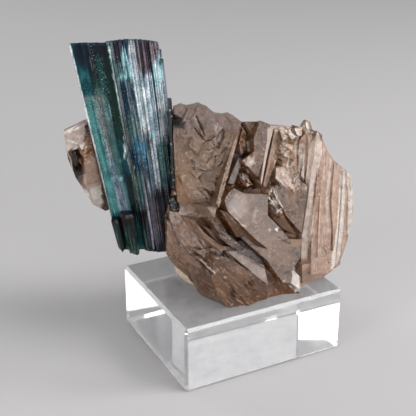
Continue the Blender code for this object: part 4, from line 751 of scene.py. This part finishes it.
# Some facets stand only a little proud of the quartz between them
places, normals = points_of(quartz)
x, y, z = places.T
behind = np.clip(y - (FACETS_FRONT - FACETS_LEAN * (80 - z)) - 0.35, 0, None)
closed = np.max([within(x, z, outline, 0.8) * much for much, outline in SHALLOW_GAPS], axis=0)
places[:, 1] -= behind * closed * smooth_step(y, -6.5, -8.3)
move_points(quartz, places)

places, normals = points_of(quartz)
x, y, z = places.T
seen = seen_side(x, y) * smooth_step(-normals[:, 1], -0.35, -0.05)
slope = etched(x, y, z)
rough = fibrous(x, y, z)
wobble = wandering(places, 0.9, 5) * 0.16 + wandering(places, 2.6, 6) * 0.22
drawn_x, drawn_z = x + wobble[:, 0], z + wobble[:, 2]

paint = np.zeros((len(x), 4))
for color, strength, soft, outline in QUARTZ_AREAS:
    paint = painted(paint, color, within(drawn_x, drawn_z, outline, soft) * strength * seen)
broken = np.zeros(len(x))
for strength, soft, outline in BROKEN_AREAS:
    broken = np.maximum(broken, within(drawn_x, drawn_z, outline, soft) * strength * seen)
relief = np.zeros(len(x))
for color, strength, width, depth, line in QUARTZ_LINES:
    reach = near_lines(drawn_x, drawn_z, [line], 2.0)
    share = smooth_step(reach, width * 0.5 + 0.10, width * 0.5 - 0.10) * strength * seen
    paint = painted(paint, color, share)
    broken *= 1 - share
    height = -depth * (GROOVE_DEPTH if depth > 0 else LIP_HEIGHT)
    relief += smooth_step(reach, width * 0.5 + 0.22, width * 0.5 - 0.14) * height * seen

# Ledges on the etched slope, fibres on the rough mass, and small uneven facets where the quartz is broken
ledges = 9 * np.array([noise.noise(Vector((px / 3.4, py / 3.4, pz / 2.2))) for px, py, pz in places])
steps = np.floor(ledges) + smooth_step(ledges - np.floor(ledges), 0.0, 0.35)
relief += (steps - ledges) * 0.16 * slope
fibres = np.stack(((0.72 * x + 0.69 * z) / 0.75, (0.69 * x - 0.72 * z) / 7.0, y / 3.0), axis=1)
relief += np.array([noise.noise(Vector(place)) for place in fibres]) * 0.10 * rough
places += normals * relief[:, None]
places += wandering(places, 1.6, 1) * (0.05 + 0.13 * slope + 0.12 * rough + 0.10 * broken)[:, None]
places += wandering(places, 0.8, 2) * (0.02 + 0.04 * slope + 0.05 * rough + 0.07 * broken)[:, None]
move_points(quartz, places)
covered = paint[:, 3:] > 0.001
paint[:, :3] = np.where(covered, paint[:, :3] / np.maximum(paint[:, 3:], 0.001), 0.2)
keep_color(quartz, "paint", paint)
keep_value(quartz, "broken", broken)
keep_value(quartz, "slope", slope)
keep_value(quartz, "rough", rough)
streaked = np.maximum(smooth_step(x, 20.5, 22.5), within(x, z, BLADE_WALL, 0.5))
keep_value(quartz, "streaked", streaked * seen)


def tinted(tree, color, share, low, high):
    """A colour multiplied by a factor that goes from low to high with a share."""
    factor = mixed(tree, share, (*low, 1), (*high, 1))
    return add(tree, "Mix", {0: 1.0, 6: color, 7: factor}, data_type="RGBA", blend_type="MULTIPLY").outputs[2]


def kept(tree, name, output="Fac"):
    """A number or colour that a piece keeps at its points."""
    return add(tree, "Attribute", attribute_name=name).outputs[output]


def smoky_quartz():
    made, tree, shader = start_material("smoky quartz")
    place = in_millimetres(tree)
    normal = add(tree, "TexCoord").outputs["Normal"]
    # Facets that face the front take a greyer tone than the brown risers: a painted sheen, added to the
    # lamps' real reflection
    front = add(tree, "VectorMath", {0: normal, 1: (-0.05, -0.97, 0.22)}, operation="DOT_PRODUCT")
    plate = fade(tree, calc(tree, "ABSOLUTE", front.outputs["Value"]), 0.66, 0.92)
    cloud = clouding(tree, place, 0.11, 5.0, distortion=0.6)
    fine = clouding(tree, place, 0.9, 6.0, 0.65)
    brown = mixed(tree, fade(tree, cloud, 0.35, 0.62), tone(88, 56, 34), tone(140, 100, 68))
    pale = mixed(tree, fade(tree, cloud, 0.40, 0.62), tone(124, 96, 79), tone(95, 71, 54))
    body = mixed(tree, plate, brown, pale)
    body = mixed(tree, kept(tree, "paint", "Alpha"), body, kept(tree, "paint", "Color"))

    # Where it is broken: small darker amber facets, and small bright ones painted as glints
    broken = kept(tree, "broken")
    cells = add(tree, "TexVoronoi", {"Vector": place, "Scale": 1.1, "Randomness": 1.0}).outputs["Color"]
    first, second, _ = add(tree, "SeparateXYZ", {0: cells}).outputs
    body = mixed(tree, product(tree, fade(tree, second, 0.66, 0.76), broken, 0.6), body, AMBER)
    body = mixed(tree, product(tree, fade(tree, first, 0.74, 0.80), broken, 0.85), body, MILKY)

    # Fibres on the rough mass, clouding and fine freckles
    rough = kept(tree, "rough")
    fibres = clouding(tree, drawn_out(tree, place, (0, -0.76, 0), (0.8, 2.0, 6.0)), 1.0, 5.0)
    body = mixed(tree, product(tree, fade(tree, fibres, 0.52, 0.68), rough, 0.3), body, tone(190, 164, 146))
    body = mixed(tree, product(tree, fade(tree, fibres, 0.46, 0.34), rough, 0.4), body, tone(72, 46, 32))
    body = mixed(tree, product(tree, fade(tree, fine, 0.57, 0.70), 0.42), body, tone(230, 216, 206))
    body = mixed(tree, product(tree, fade(tree, fine, 0.43, 0.31), 0.45), body, tone(100, 70, 50))
    patches = clouding(tree, place, 0.42, 6.0, 0.62)
    body = tinted(tree, body, fade(tree, patches, 0.34, 0.66), (0.76, 0.71, 0.66), (1.10, 1.07, 1.04))

    # Grain and small crevices that run up the right block and the blade's wall
    streaked = kept(tree, "streaked")
    grain = clouding(tree, drawn_out(tree, place, (0, 0.06, 0), (0.42, 2.0, 4.2)), 1.0, 5.0, 0.6)
    grained = product(tree, streaked, calc(tree, "ADD", fade(tree, cloud, 0.56, 0.40), 0.25))
    body = mixed(tree, product(tree, fade(tree, grain, 0.53, 0.68), grained, 0.4), body, tone(236, 222, 212))
    body = mixed(tree, product(tree, fade(tree, grain, 0.47, 0.34), grained, 0.4), body, tone(116, 84, 64))
    ticks = clouding(tree, drawn_out(tree, place, (0, 0.35, 0), (0.30, 2.0, 1.1)), 1.0, 2.0)
    ticks = product(tree, fade(tree, ticks, 0.66, 0.72), fade(tree, patches, 0.52, 0.58), streaked)
    body = mixed(tree, product(tree, ticks, 0.7), body, DARK_BROWN)

    # Wandering cracks on the etched slope, darkened with painted shadow
    bends = add(tree, "TexNoise", {"Vector": place, "Scale": 0.45, "Detail": 3.0}).outputs["Color"]
    bent = add(tree, "VectorMath", {0: bends, 1: (4.6, 4.6, 4.6), 2: place}, operation="MULTIPLY_ADD")
    bent = drawn_out(tree, bent.outputs[0], (0, -0.6, 0), (4.6, 3.3, 1.7))
    edges = add(tree, "TexVoronoi", {"Vector": bent, "Scale": 1.0}, feature="DISTANCE_TO_EDGE").outputs[0]
    crack = product(tree, fade(tree, edges, 0.055, 0.01), fade(tree, cloud, 0.46, 0.56), kept(tree, "slope"))
    body = mixed(tree, product(tree, crack, 0.5), body, DARK_BROWN)
    tree.links.new(body, shader.inputs["Base Color"])
    tree.links.new(calc(tree, "ADD", product(tree, fine, 0.26), 0.04), shader.inputs["Roughness"])
    shader.inputs["IOR"].default_value = 1.544
    shader.inputs["Transmission Weight"].default_value = 0.40

    # Facets that lean a little every way, strongly where it is broken
    lean = add(tree, "VectorMath", {0: cells, 1: (0.5, 0.5, 0.5)}, operation="SUBTRACT").outputs[0]
    slant = calc(tree, "ADD", product(tree, broken, 0.7), 0.10)
    lean = add(tree, "VectorMath", {0: lean, "Scale": slant}, operation="SCALE").outputs[0]
    facing = add(tree, "NewGeometry").outputs["Normal"]
    facing = add(tree, "VectorMath", {0: facing, 1: lean}, operation="ADD").outputs[0]
    facing = add(tree, "VectorMath", {0: facing}, operation="NORMALIZE").outputs[0]
    relief = calc(tree, "SUBTRACT", calc(tree, "ADD", fine, patches), crack)
    relief = calc(tree, "ADD", relief, product(tree, calc(tree, "SUBTRACT", grain, ticks), streaked))
    add_bump(tree, shader, relief, 0.4, 0.0004, Normal=facing)
    smoke = add(tree, "VolumeAbsorption", {"Color": (0.66, 0.47, 0.28, 1.0), "Density": 75.0})
    tree.links.new(smoke.outputs[0], tree.nodes["Material Output"].inputs["Volume"])
    return made


finish_piece(quartz, smoky_quartz(), 24, "smoky_quartz")


# Tourmaline. A fan-shaped prism of indicolite, glassy, with one flat side and one of rounded ribs, ending in
# a slanting break. It is nearly black where it is deepest and blue-green where light comes through.

TOURMALINE_TURN = math.radians(-27.3)
TOURMALINE_FOOT = 41.0
FIBRE_GRAIN = 0.37
BACK_FIBRE_GRAIN = 1.10

# In millimetres: how wide each side is, unrolled, and where the two stubs are. They reach this high and this
# far right, stand further forward than the flat side behind them, and are darkest this high above the foot
SIDE_WIDTH = 12.5
STUB_TOP = 57.6
STUB_RIGHT = -30
STUB_BACK = 10.65
STUB_DARK_TOP = 11.5

# Colours of the tourmaline
INK = tone(1, 12, 26)
NAVY = tone(2, 38, 62)
DEEP_TEAL = tone(2, 68, 76)
TEAL = tone(48, 112, 112)
PALE_TEAL = tone(104, 160, 158)
DARK_GREEN = tone(2, 42, 34)
GREEN_GREY = tone(64, 92, 90)
SEA_GREY = tone(106, 134, 136)
WARM_GREY = tone(112, 108, 104)
LILAC = tone(126, 134, 150)
PALE_LILAC = tone(162, 172, 184)
# Silver, painted as highlights along the ribs
SILVER_HIGHLIGHT = tone(200, 210, 212)
ROSE_SILVER = tone(184, 190, 192)
AQUA = tone(160, 208, 212)
PLUM_BLACK = tone(30, 24, 30)
PLUM = tone(104, 84, 96)
MAUVE = tone(120, 104, 112)
STEEL = tone(104, 118, 130)
BLUE = tone(42, 90, 118)
SKY = tone(96, 148, 172)
OLIVE = tone(92, 94, 78)
BLACK_GREEN = tone(8, 14, 15)

# Patches of colour: how much, from where to where across (0 to 1 on the flat side, 1 to 2 over the ribs), and
# from where to where up, in millimetres above the foot
INDICOLITE_PATCHES = [
    # The flat side's top third
    (NAVY, 0.97, -0.1, 0.40, 57, 90),
    (DEEP_TEAL, 0.8, 0.05, 0.36, 57, 69),
    (DEEP_TEAL, 0.6, 0.03, 0.16, 66, 90),
    (INK, 0.97, 0.36, 0.98, 60, 90),
    (INK, 0.7, 0.12, 0.34, 67, 75),
    (TEAL, 0.7, 0.06, 0.34, 62, 64.6),
    (DARK_GREEN, 0.95, 0.40, 0.98, 57, 64),
    (DARK_GREEN, 0.85, 0.60, 0.98, 60, 70),
    (DEEP_TEAL, 0.6, 0.62, 0.74, 58, 70),
    (PALE_TEAL, 0.7, 0.02, 0.06, 50, 72),
    (WARM_GREY, 0.9, 0.465, 0.485, 66, 70.5),
    (GREEN_GREY, 0.8, 0.40, 0.66, 55.6, 60),
    # Its middle, below the first growth line
    (TEAL, 0.9, 0.02, 0.30, 28, 57),
    (PALE_TEAL, 0.45, 0.08, 0.24, 30, 56),
    (SEA_GREY, 0.9, 0.28, 0.42, 44, 56),
    (WARM_GREY, 0.95, 0.40, 0.54, 36, 56),
    (GREEN_GREY, 0.95, 0.52, 0.74, 34, 57),
    (SEA_GREY, 0.5, 0.56, 0.64, 44, 56),
    (DARK_GREEN, 0.97, 0.72, 0.985, 38, 58),
    (AQUA, 0.85, 0.705, 0.735, 50.5, 54.6),
    (DEEP_TEAL, 0.8, 0.02, 0.10, 28, 44),
    (SEA_GREY, 0.85, 0.32, 0.44, 30, 44),
    (LILAC, 0.6, 0.36, 0.54, 27, 38),
    (GREEN_GREY, 0.9, 0.54, 0.72, 28, 40),
    (DEEP_TEAL, 0.9, 0.70, 0.98, 25, 42),
    # Its foot, below the second growth line
    (TEAL, 0.9, 0.06, 0.34, 13, 28),
    (PALE_TEAL, 0.5, 0.12, 0.28, 14, 27),
    (LILAC, 0.75, 0.34, 0.60, 15, 27.6),
    (STEEL, 0.8, 0.60, 0.70, 15, 27),
    (GREEN_GREY, 0.7, 0.70, 0.78, 16, 27),
    (BLACK_GREEN, 0.92, 0.80, 0.99, 12, 30),
    (DEEP_TEAL, 0.95, -0.1, 0.36, 6, 15),
    (DEEP_TEAL, 0.8, -0.02, 0.06, 14, 30),
    # Growth lines across it
    (WARM_GREY, 0.85, 0.08, 0.62, 56.3, 57.0),
    (PALE_TEAL, 0.7, 0.08, 0.36, 55.4, 56.2),
    (AQUA, 0.7, 0.30, 0.74, 27.7, 28.2),
    (PALE_TEAL, 0.5, 0.62, 0.95, 33.4, 33.9),
    # The ribs' cap, with its plum and black stripes
    (PLUM_BLACK, 0.9, 1.02, 2.1, 66, 90),
    (STEEL, 0.9, 1.04, 1.09, 60, 90),
    (PLUM, 0.7, 1.22, 1.27, 70, 90),
    (NAVY, 0.8, 1.26, 1.38, 70, 90),
    (ROSE_SILVER, 0.85, 1.385, 1.54, 60, 75),
    (PALE_LILAC, 0.8, 1.44, 1.50, 62, 90),
    (MAUVE, 0.85, 1.58, 1.62, 66, 90),
    (PLUM, 0.8, 1.68, 1.72, 66, 90),
    (MAUVE, 0.8, 1.80, 2.02, 68, 90),
    (PLUM_BLACK, 0.8, 1.86, 1.885, 68, 90),
    (PLUM_BLACK, 0.8, 1.935, 1.955, 68, 90),
    # Aqua patches below the cap
    (GREEN_GREY, 0.8, 1.08, 1.40, 58, 69),
    (AQUA, 0.85, 1.24, 1.40, 66, 71.5),
    (AQUA, 0.8, 1.20, 1.36, 61.5, 65),
    (NAVY, 0.6, 1.25, 1.34, 65, 67.5),
    (AQUA, 0.85, 1.80, 1.98, 61, 70),
    (SILVER_HIGHLIGHT, 0.8, 1.84, 1.94, 62, 69),
    (AQUA, 0.7, 1.10, 1.62, 63, 64),
    # Silvery columns, painted highlights along the ribs, and the blue-black ones at their left
    (WARM_GREY, 0.85, 1.015, 1.09, 40, 62),
    (NAVY, 0.9, 1.11, 1.39, 50, 63),
    (STEEL, 0.8, 1.235, 1.27, 50, 63),
    (ROSE_SILVER, 0.7, 1.30, 1.325, 46, 61),
    (SILVER_HIGHLIGHT, 0.95, 1.40, 1.62, 44, 62),
    (ROSE_SILVER, 0.7, 1.52, 1.57, 44, 66),
    (PALE_LILAC, 0.95, 1.62, 1.77, 40, 65),
    (SEA_GREY, 0.7, 1.70, 1.74, 46, 64),
    (BLACK_GREEN, 0.9, 1.775, 1.80, 44, 69),
    (ROSE_SILVER, 0.9, 1.80, 1.96, 42, 61),
    (STEEL, 0.7, 1.87, 1.89, 40, 60),
    (BLACK_GREEN, 0.95, 1.815, 1.85, 51.4, 52.8),
    (BLACK_GREEN, 0.95, 1.83, 1.86, 48.9, 50.0),
    (GREEN_GREY, 0.85, 1.10, 1.39, 38, 51),
    (SEA_GREY, 0.7, 1.22, 1.27, 42, 52),
    (ROSE_SILVER, 0.6, 1.31, 1.34, 40, 52),
    (WARM_GREY, 0.7, 1.41, 1.60, 41, 45.6),
    (AQUA, 0.8, 1.58, 1.70, 43.6, 45),
    # The blue patch, and the navy below it
    (NAVY, 0.9, 1.09, 1.30, 30, 40),
    (BLUE, 0.9, 1.18, 1.46, 35, 43),
    (SKY, 0.8, 1.28, 1.36, 36, 42),
    (SKY, 0.6, 1.38, 1.44, 38, 42.4),
    (NAVY, 0.7, 1.30, 1.46, 30, 36),
    (BLUE, 0.7, 1.36, 1.44, 31.6, 33),
    (ROSE_SILVER, 0.6, 1.30, 1.315, 28, 37),
    # The lower half: grey and lilac columns between dark ones, with plum reflections
    (STEEL, 0.8, 1.44, 1.56, 24, 41),
    (ROSE_SILVER, 0.85, 1.56, 1.68, 24, 41),
    (PALE_LILAC, 0.7, 1.60, 1.64, 22, 40),
    (GREEN_GREY, 0.9, 1.69, 1.90, 24, 41),
    (SEA_GREY, 0.6, 1.74, 1.76, 26, 41),
    (BLACK_GREEN, 0.55, 1.90, 2.1, 0, 40),
    (OLIVE, 0.9, 1.03, 1.09, 8, 34),
    (GREEN_GREY, 0.85, 1.09, 1.28, 18, 31),
    (PLUM_BLACK, 0.75, 1.34, 2.1, -10, 24),
    (PLUM, 0.75, 1.26, 1.36, 4, 27),
    (ROSE_SILVER, 0.8, 1.29, 1.31, 6, 27),
    (MAUVE, 0.6, 1.20, 1.22, 0, 20),
    (MAUVE, 0.6, 1.42, 1.47, 2, 24),
    (MAUVE, 0.6, 1.50, 1.54, 0, 22),
    (PLUM_BLACK, 0.8, 1.0, 1.2, -10, 17),
    (BLACK_GREEN, 0.75, 1.36, 2.1, -10, 5),
]

# Where it is sown with pale specks: how much, from where to where across, and from where to where up
INDICOLITE_SPECKS = [
    (1.0, 0.62, 0.80, 46, 70),
    (0.8, 0.52, 0.66, 62, 74),
    (1.0, 0.96, 1.05, 40, 78),
    (0.6, 1.10, 1.45, 58, 72),
    (0.7, 1.78, 2.05, 58, 72),
    (0.5, 1.05, 2.05, 30, 60),
    (0.6, 1.00, 1.10, 10, 40),
    (0.4, -0.10, 0.60, 20, 60),
]

# Small pale dots: across, up, and how wide they are in millimetres
INDICOLITE_FLECKS = [
    (1.66, 57.8, 0.9), (1.52, 56.2, 0.4), (1.87, 34.6, 0.7), (1.53, 39.4, 0.5), (1.79, 43.0, 0.4),
    (1.59, 50.6, 0.5), (0.05, 16.6, 0.4), (0.04, 24.8, 0.5), (0.03, 30.6, 0.4), (0.08, 14.2, 0.4),
    (1.09, 32.0, 0.5), (1.12, 32.6, 0.4), (1.09, 28.6, 0.4), (1.99, 69.8, 0.6), (1.05, 54.6, 0.8),
    (0.20, 74.6, 0.4),
]

# White chips of other minerals along the line where the ribs start: across, up, and how wide they are
INDICOLITE_CHIPS = [
    (0.965, 39.6, 1.3), (0.96, 37.6, 1.0), (0.90, 36.1, 0.8), (0.99, 34.8, 1.1), (0.99, 33.2, 0.9),
    (1.0, 31.2, 0.5), (0.985, 75.0, 0.5), (1.02, 72.6, 0.5), (1.03, 70.4, 0.6), (1.0, 64.0, 0.5),
    (1.02, 49.0, 0.4), (0.98, 42.6, 0.6),
]


def crystal_places(places):
    """Points given across the tourmaline, towards its front and up, in millimetres."""
    turn = np.array(Matrix.Rotation(-TOURMALINE_TURN, 3, "Z"))
    turned = places @ turn.T
    return turned[:, 0], -turned[:, 1], turned[:, 2]


def crystal_edges(up):
    """The left edge, the line where the ribs start and the right edge, at a height above the foot."""
    return -40.3 - 0.179 * up, -31.0 - 0.133 * up, -17.4 - 0.088 * up


def keep_place(piece, name, places):
    """Keeps a place at every point, for the piece's material to read."""
    layer = piece.data.attributes.new(name, "FLOAT_VECTOR", "POINT")
    layer.data.foreach_set("vector", np.asarray(places, np.float32).ravel())


def drawn_noise(places, scale, scale_up, seed):
    """Noise for each point, drawn out along the crystal, at most about 1 either way."""
    return np.array([noise.noise(Vector((a * scale, b * scale, c * scale_up + seed))) for a, b, c in places])


def band(value, start, end, soft):
    """1 between start and end and 0 outside them, over soft edges."""
    return smooth_step(value, start - soft, start + soft) * smooth_step(value, end + soft, end - soft)


def washed(colors, tint, share):
    """Colours moved towards another by a share at every point."""
    return colors + (np.array(tint[:3]) - colors) * share[:, None]


def longest_in_crystal(places):
    """How long an edge of the tourmaline may be at each place."""
    front = crystal_places(places)[1]
    return np.where(front > 3.5, FIBRE_GRAIN, BACK_FIBRE_GRAIN)


crystal = copy_of("tourmaline_crystal", "indicolite_crystal")
cut_long_edges(crystal, longest_in_crystal, stretch=(1.0, 1.0, 0.2))
places, normals = points_of(crystal)
across, front, height = crystal_places(places)
up = height - TOURMALINE_FOOT
left, start, right = crystal_edges(up)
share = np.where(across < start, (across - left) / (start - left), 1 + (across - start) / (right - start))
proud = (front > STUB_BACK) | (across < left - 0.3)
stub = ((height < STUB_TOP) & (across < STUB_RIGHT) & proud).astype(float)
unrolled = np.stack((share * SIDE_WIDTH, front, up), axis=1)
narrow = drawn_noise(unrolled, 1.5, 0.02, 3.0)
drawn_share = share + drawn_noise(unrolled, 0.35, 0.03, 19.0) * 0.03
drawn_up = up + drawn_noise(unrolled, 1.9, 0.02, 23.0) * np.where(share < 1, 2.0, 4.5)
line_up = up + drawn_noise(unrolled, 0.8, 0.1, 31.0) * 0.8

# The flat side starts teal and the ribs grey, in narrow dark and bright stripes, with the patches over them
bright = smooth_step(narrow, -0.25, 0.25)
stripes = bright[:, None]
flat_side = np.array(DEEP_TEAL[:3]) * (1 - stripes) + np.array(TEAL[:3]) * stripes
ribs = np.array(BLACK_GREEN[:3]) * (1 - stripes) + np.array(STEEL[:3]) * stripes
color = np.where((share < 1)[:, None], flat_side, ribs)
for tint, strength, left, right, low, high in INDICOLITE_PATCHES:
    reach, soft = (line_up, 0.2) if high - low < 1.5 else (drawn_up, 0.9)
    inside = band(drawn_share, left, right, 0.012) * band(reach, low, high, soft)
    color = washed(color, tint, inside * strength)
# A pale line where the ribs start, a painted highlight along that edge, broken by gaps
seam_highlight = smooth_step(drawn_share, 0.985, 1.0) * smooth_step(drawn_share, 1.045, 1.03) * smooth_step(up, 40, 60)
gaps = smooth_step(drawn_noise(unrolled, 1.5, 0.5, 41.0), -0.05, 0.2)
color = washed(color, tone(156, 190, 182), seam_highlight * (0.25 + 0.6 * gaps))
for fleck_share, fleck_up, size in INDICOLITE_FLECKS:
    reach = np.hypot((share - fleck_share) * SIDE_WIDTH, up - fleck_up)
    color = washed(color, tone(196, 216, 210), smooth_step(reach, size * 0.6, size * 0.3) * 0.6)
color = np.where((share > 1)[:, None], np.minimum(color * 1.28, 1.0), color)

# White chips, a little raised, where the flat side meets the ribs
crust = np.zeros(len(share))
for chip_share, chip_up, size in INDICOLITE_CHIPS:
    reach = np.hypot((share - chip_share) * SIDE_WIDTH, (up - chip_up) * 0.7) + narrow * 0.3
    crust = np.maximum(crust, smooth_step(reach, size * 0.62, size * 0.38) * (front > 4))
color = washed(color, tone(214, 226, 220), crust * 0.9)

# The two stubs are nearly black, greener at their feet and blackest at their tops
in_stub = (stub > 0)[:, None]
color = np.where(in_stub, np.array(BLACK_GREEN[:3]) + stripes * np.array((0.010, 0.028, 0.025)), color)
green = smooth_step(narrow, 0.05, 0.3) * smooth_step(up, 10, 7) * 0.7
color = np.where(in_stub, washed(color, tone(70, 108, 92), green), color)
color = np.where(in_stub & (up > STUB_DARK_TOP)[:, None], np.array(tone(22, 14, 18)[:3]), color)

# Pale specks, the bevel at the left edge painted near white as a highlight, and the broken top
specks = np.zeros(len(share))
for strength, left, right, low, high in INDICOLITE_SPECKS:
    inside = band(drawn_share, left, right, 0.03) * band(up, low, high, 2)
    specks = np.maximum(specks, inside * strength * (1 - stub))
bevel = smooth_step(share, 0.060, 0.050) * (0.15 + 0.85 * smooth_step(up + narrow * 12, 14, 42)) * (1 - stub)
color = washed(color, tone(248, 250, 250), bevel)
top = smooth_step(normals[:, 2], 0.45, 0.7) * (up > 50)
top_color = np.array(NAVY[:3]) * (1 - stripes) + np.array(TEAL[:3]) * stripes * 0.5
color = color + (top_color - color) * top[:, None] * 0.9
keep_color(crystal, "paint", np.column_stack((color, np.ones(len(color)))))
keep_place(crystal, "along", unrolled)
keep_value(crystal, "specks", specks)
keep_value(crystal, "broken", top)

# Grooves along the crystal, shallower on its flat side
groove = narrow * 0.10 + drawn_noise(unrolled, 3.6, 0.03, 7.0) * 0.05
sides = smooth_step(np.abs(normals[:, 2]), 0.5, 0.3)
places += normals * (groove * np.where(share < 0.98, 0.4, 1.0) * sides + crust * 0.25)[:, None]
move_points(crystal, places)


def indicolite():
    made, tree, shader = start_material("indicolite")
    along = kept(tree, "along", "Vector")

    def streaks(scale, scale_up, seed, detail):
        """Noise that is drawn out along the crystal."""
        inputs = {"Vector": along, "Location": (0, 0, seed), "Scale": (scale, scale, scale_up)}
        return clouding(tree, add(tree, "Mapping", inputs).outputs[0], 1.0, detail)

    narrow = streaks(2.6, 0.012, 7.0, 3.0)
    hair = streaks(7.0, 0.02, 13.0, 2.0)
    ticks = streaks(2.4, 0.9, 11.0, 2.0)
    clouds = streaks(0.5, 0.25, 17.0, 4.0)
    nicks = streaks(1.6, 1.6, 29.0, 3.0)
    grit = streaks(3.2, 2.0, 37.0, 4.0)
    color = kept(tree, "paint", "Color")
    # Streaks and clouds tint the paint darker and lighter; the ticks lighten short marks along the ribs as
    # painted glints
    for pattern, start, end, low, high in (
        (narrow, 0.34, 0.66, (0.72, 0.72, 0.74), (1.17, 1.17, 1.17)),
        (hair, 0.36, 0.64, (0.80, 0.80, 0.82), (1.17, 1.17, 1.17)),
        (clouds, 0.36, 0.62, (0.62, 0.70, 0.73), (1.25, 1.20, 1.18)),
        (ticks, 0.56, 0.72, (0.92, 0.92, 0.92), (1.30, 1.34, 1.34)),
        (nicks, 0.40, 0.34, (1.0, 1.0, 1.0), (0.45, 0.50, 0.52)),
        (grit, 0.40, 0.62, (0.66, 0.70, 0.72), (1.35, 1.32, 1.30)),
    ):
        color = tinted(tree, color, fade(tree, pattern, start, end), low, high)
    speck = product(tree, fade(tree, grit, 0.60, 0.65), kept(tree, "specks"), 0.75)
    tree.links.new(mixed(tree, speck, color, tone(176, 212, 206)), shader.inputs["Base Color"])
    dull = calc(tree, "ADD", product(tree, clouds, 0.20), product(tree, kept(tree, "broken"), 0.35))
    tree.links.new(calc(tree, "ADD", dull, 0.05), shader.inputs["Roughness"])
    shader.inputs["IOR"].default_value = 1.63
    shader.inputs["Specular IOR Level"].default_value = 0.10
    shader.inputs["Transmission Weight"].default_value = 0.20
    relief = calc(tree, "ADD", narrow, product(tree, hair, 0.35))
    relief = calc(tree, "ADD", relief, product(tree, ticks, 0.12))
    add_bump(tree, shader, relief, 0.35, 0.0003)
    depth = add(tree, "VolumeAbsorption", {"Color": (0.04, 0.42, 0.48, 1.0), "Density": 420.0})
    tree.links.new(depth.outputs[0], tree.nodes["Material Output"].inputs["Volume"])
    return made


finish_piece(crystal, indicolite(), 35, "tourmaline_crystal")


# Needle and chip. A thin dark tourmaline in the groove beside the main crystal, and a broken fragment set in
# the quartz below it. Both are the same indicolite, too dark to show their colour.

NEEDLE_GRAIN = 1.2
CHIP_GRAIN = 0.5
CHIP_FACET_SIZE = 0.0012
CHIP_FACET_HEIGHT = 0.0003


def dark_indicolite():
    made, tree, shader = start_material("dark indicolite")
    place = in_millimetres(tree)
    stretched = add(tree, "Mapping", {"Vector": place, "Scale": (3.0, 3.0, 0.25)}).outputs[0]
    streak = clouding(tree, stretched, 1.0, 4.0)
    color = mixed(tree, fade(tree, streak, 0.42, 0.66), tone(10, 16, 18), tone(52, 66, 66))
    specks = add(tree, "TexVoronoi", {"Vector": place, "Scale": 1.6}).outputs["Color"]
    speck = add(tree, "SeparateXYZ", {0: specks}).outputs[0]
    color = mixed(tree, product(tree, fade(tree, speck, 0.91, 0.94), 0.45), color, tone(206, 196, 192))
    tree.links.new(color, shader.inputs["Base Color"])
    shader.inputs["Roughness"].default_value = 0.18
    shader.inputs["IOR"].default_value = 1.63
    shader.inputs["Transmission Weight"].default_value = 0.15
    add_bump(tree, shader, streak, 0.5, 0.0003)
    return made


dark_green = dark_indicolite()
needle = copy_of("tourmaline_needle", "dark_needle")
cut_long_edges(needle, lambda places: NEEDLE_GRAIN)
finish_piece(needle, dark_green, 30, "tourmaline_needle")
fragment = copy_of("tourmaline_chip", "dark_chip")
cut_long_edges(fragment, lambda places: CHIP_GRAIN)
displace(fragment, "chip facets", CHIP_FACET_SIZE, CHIP_FACET_HEIGHT)
finish_piece(fragment, dark_green, 20, "tourmaline_chip")
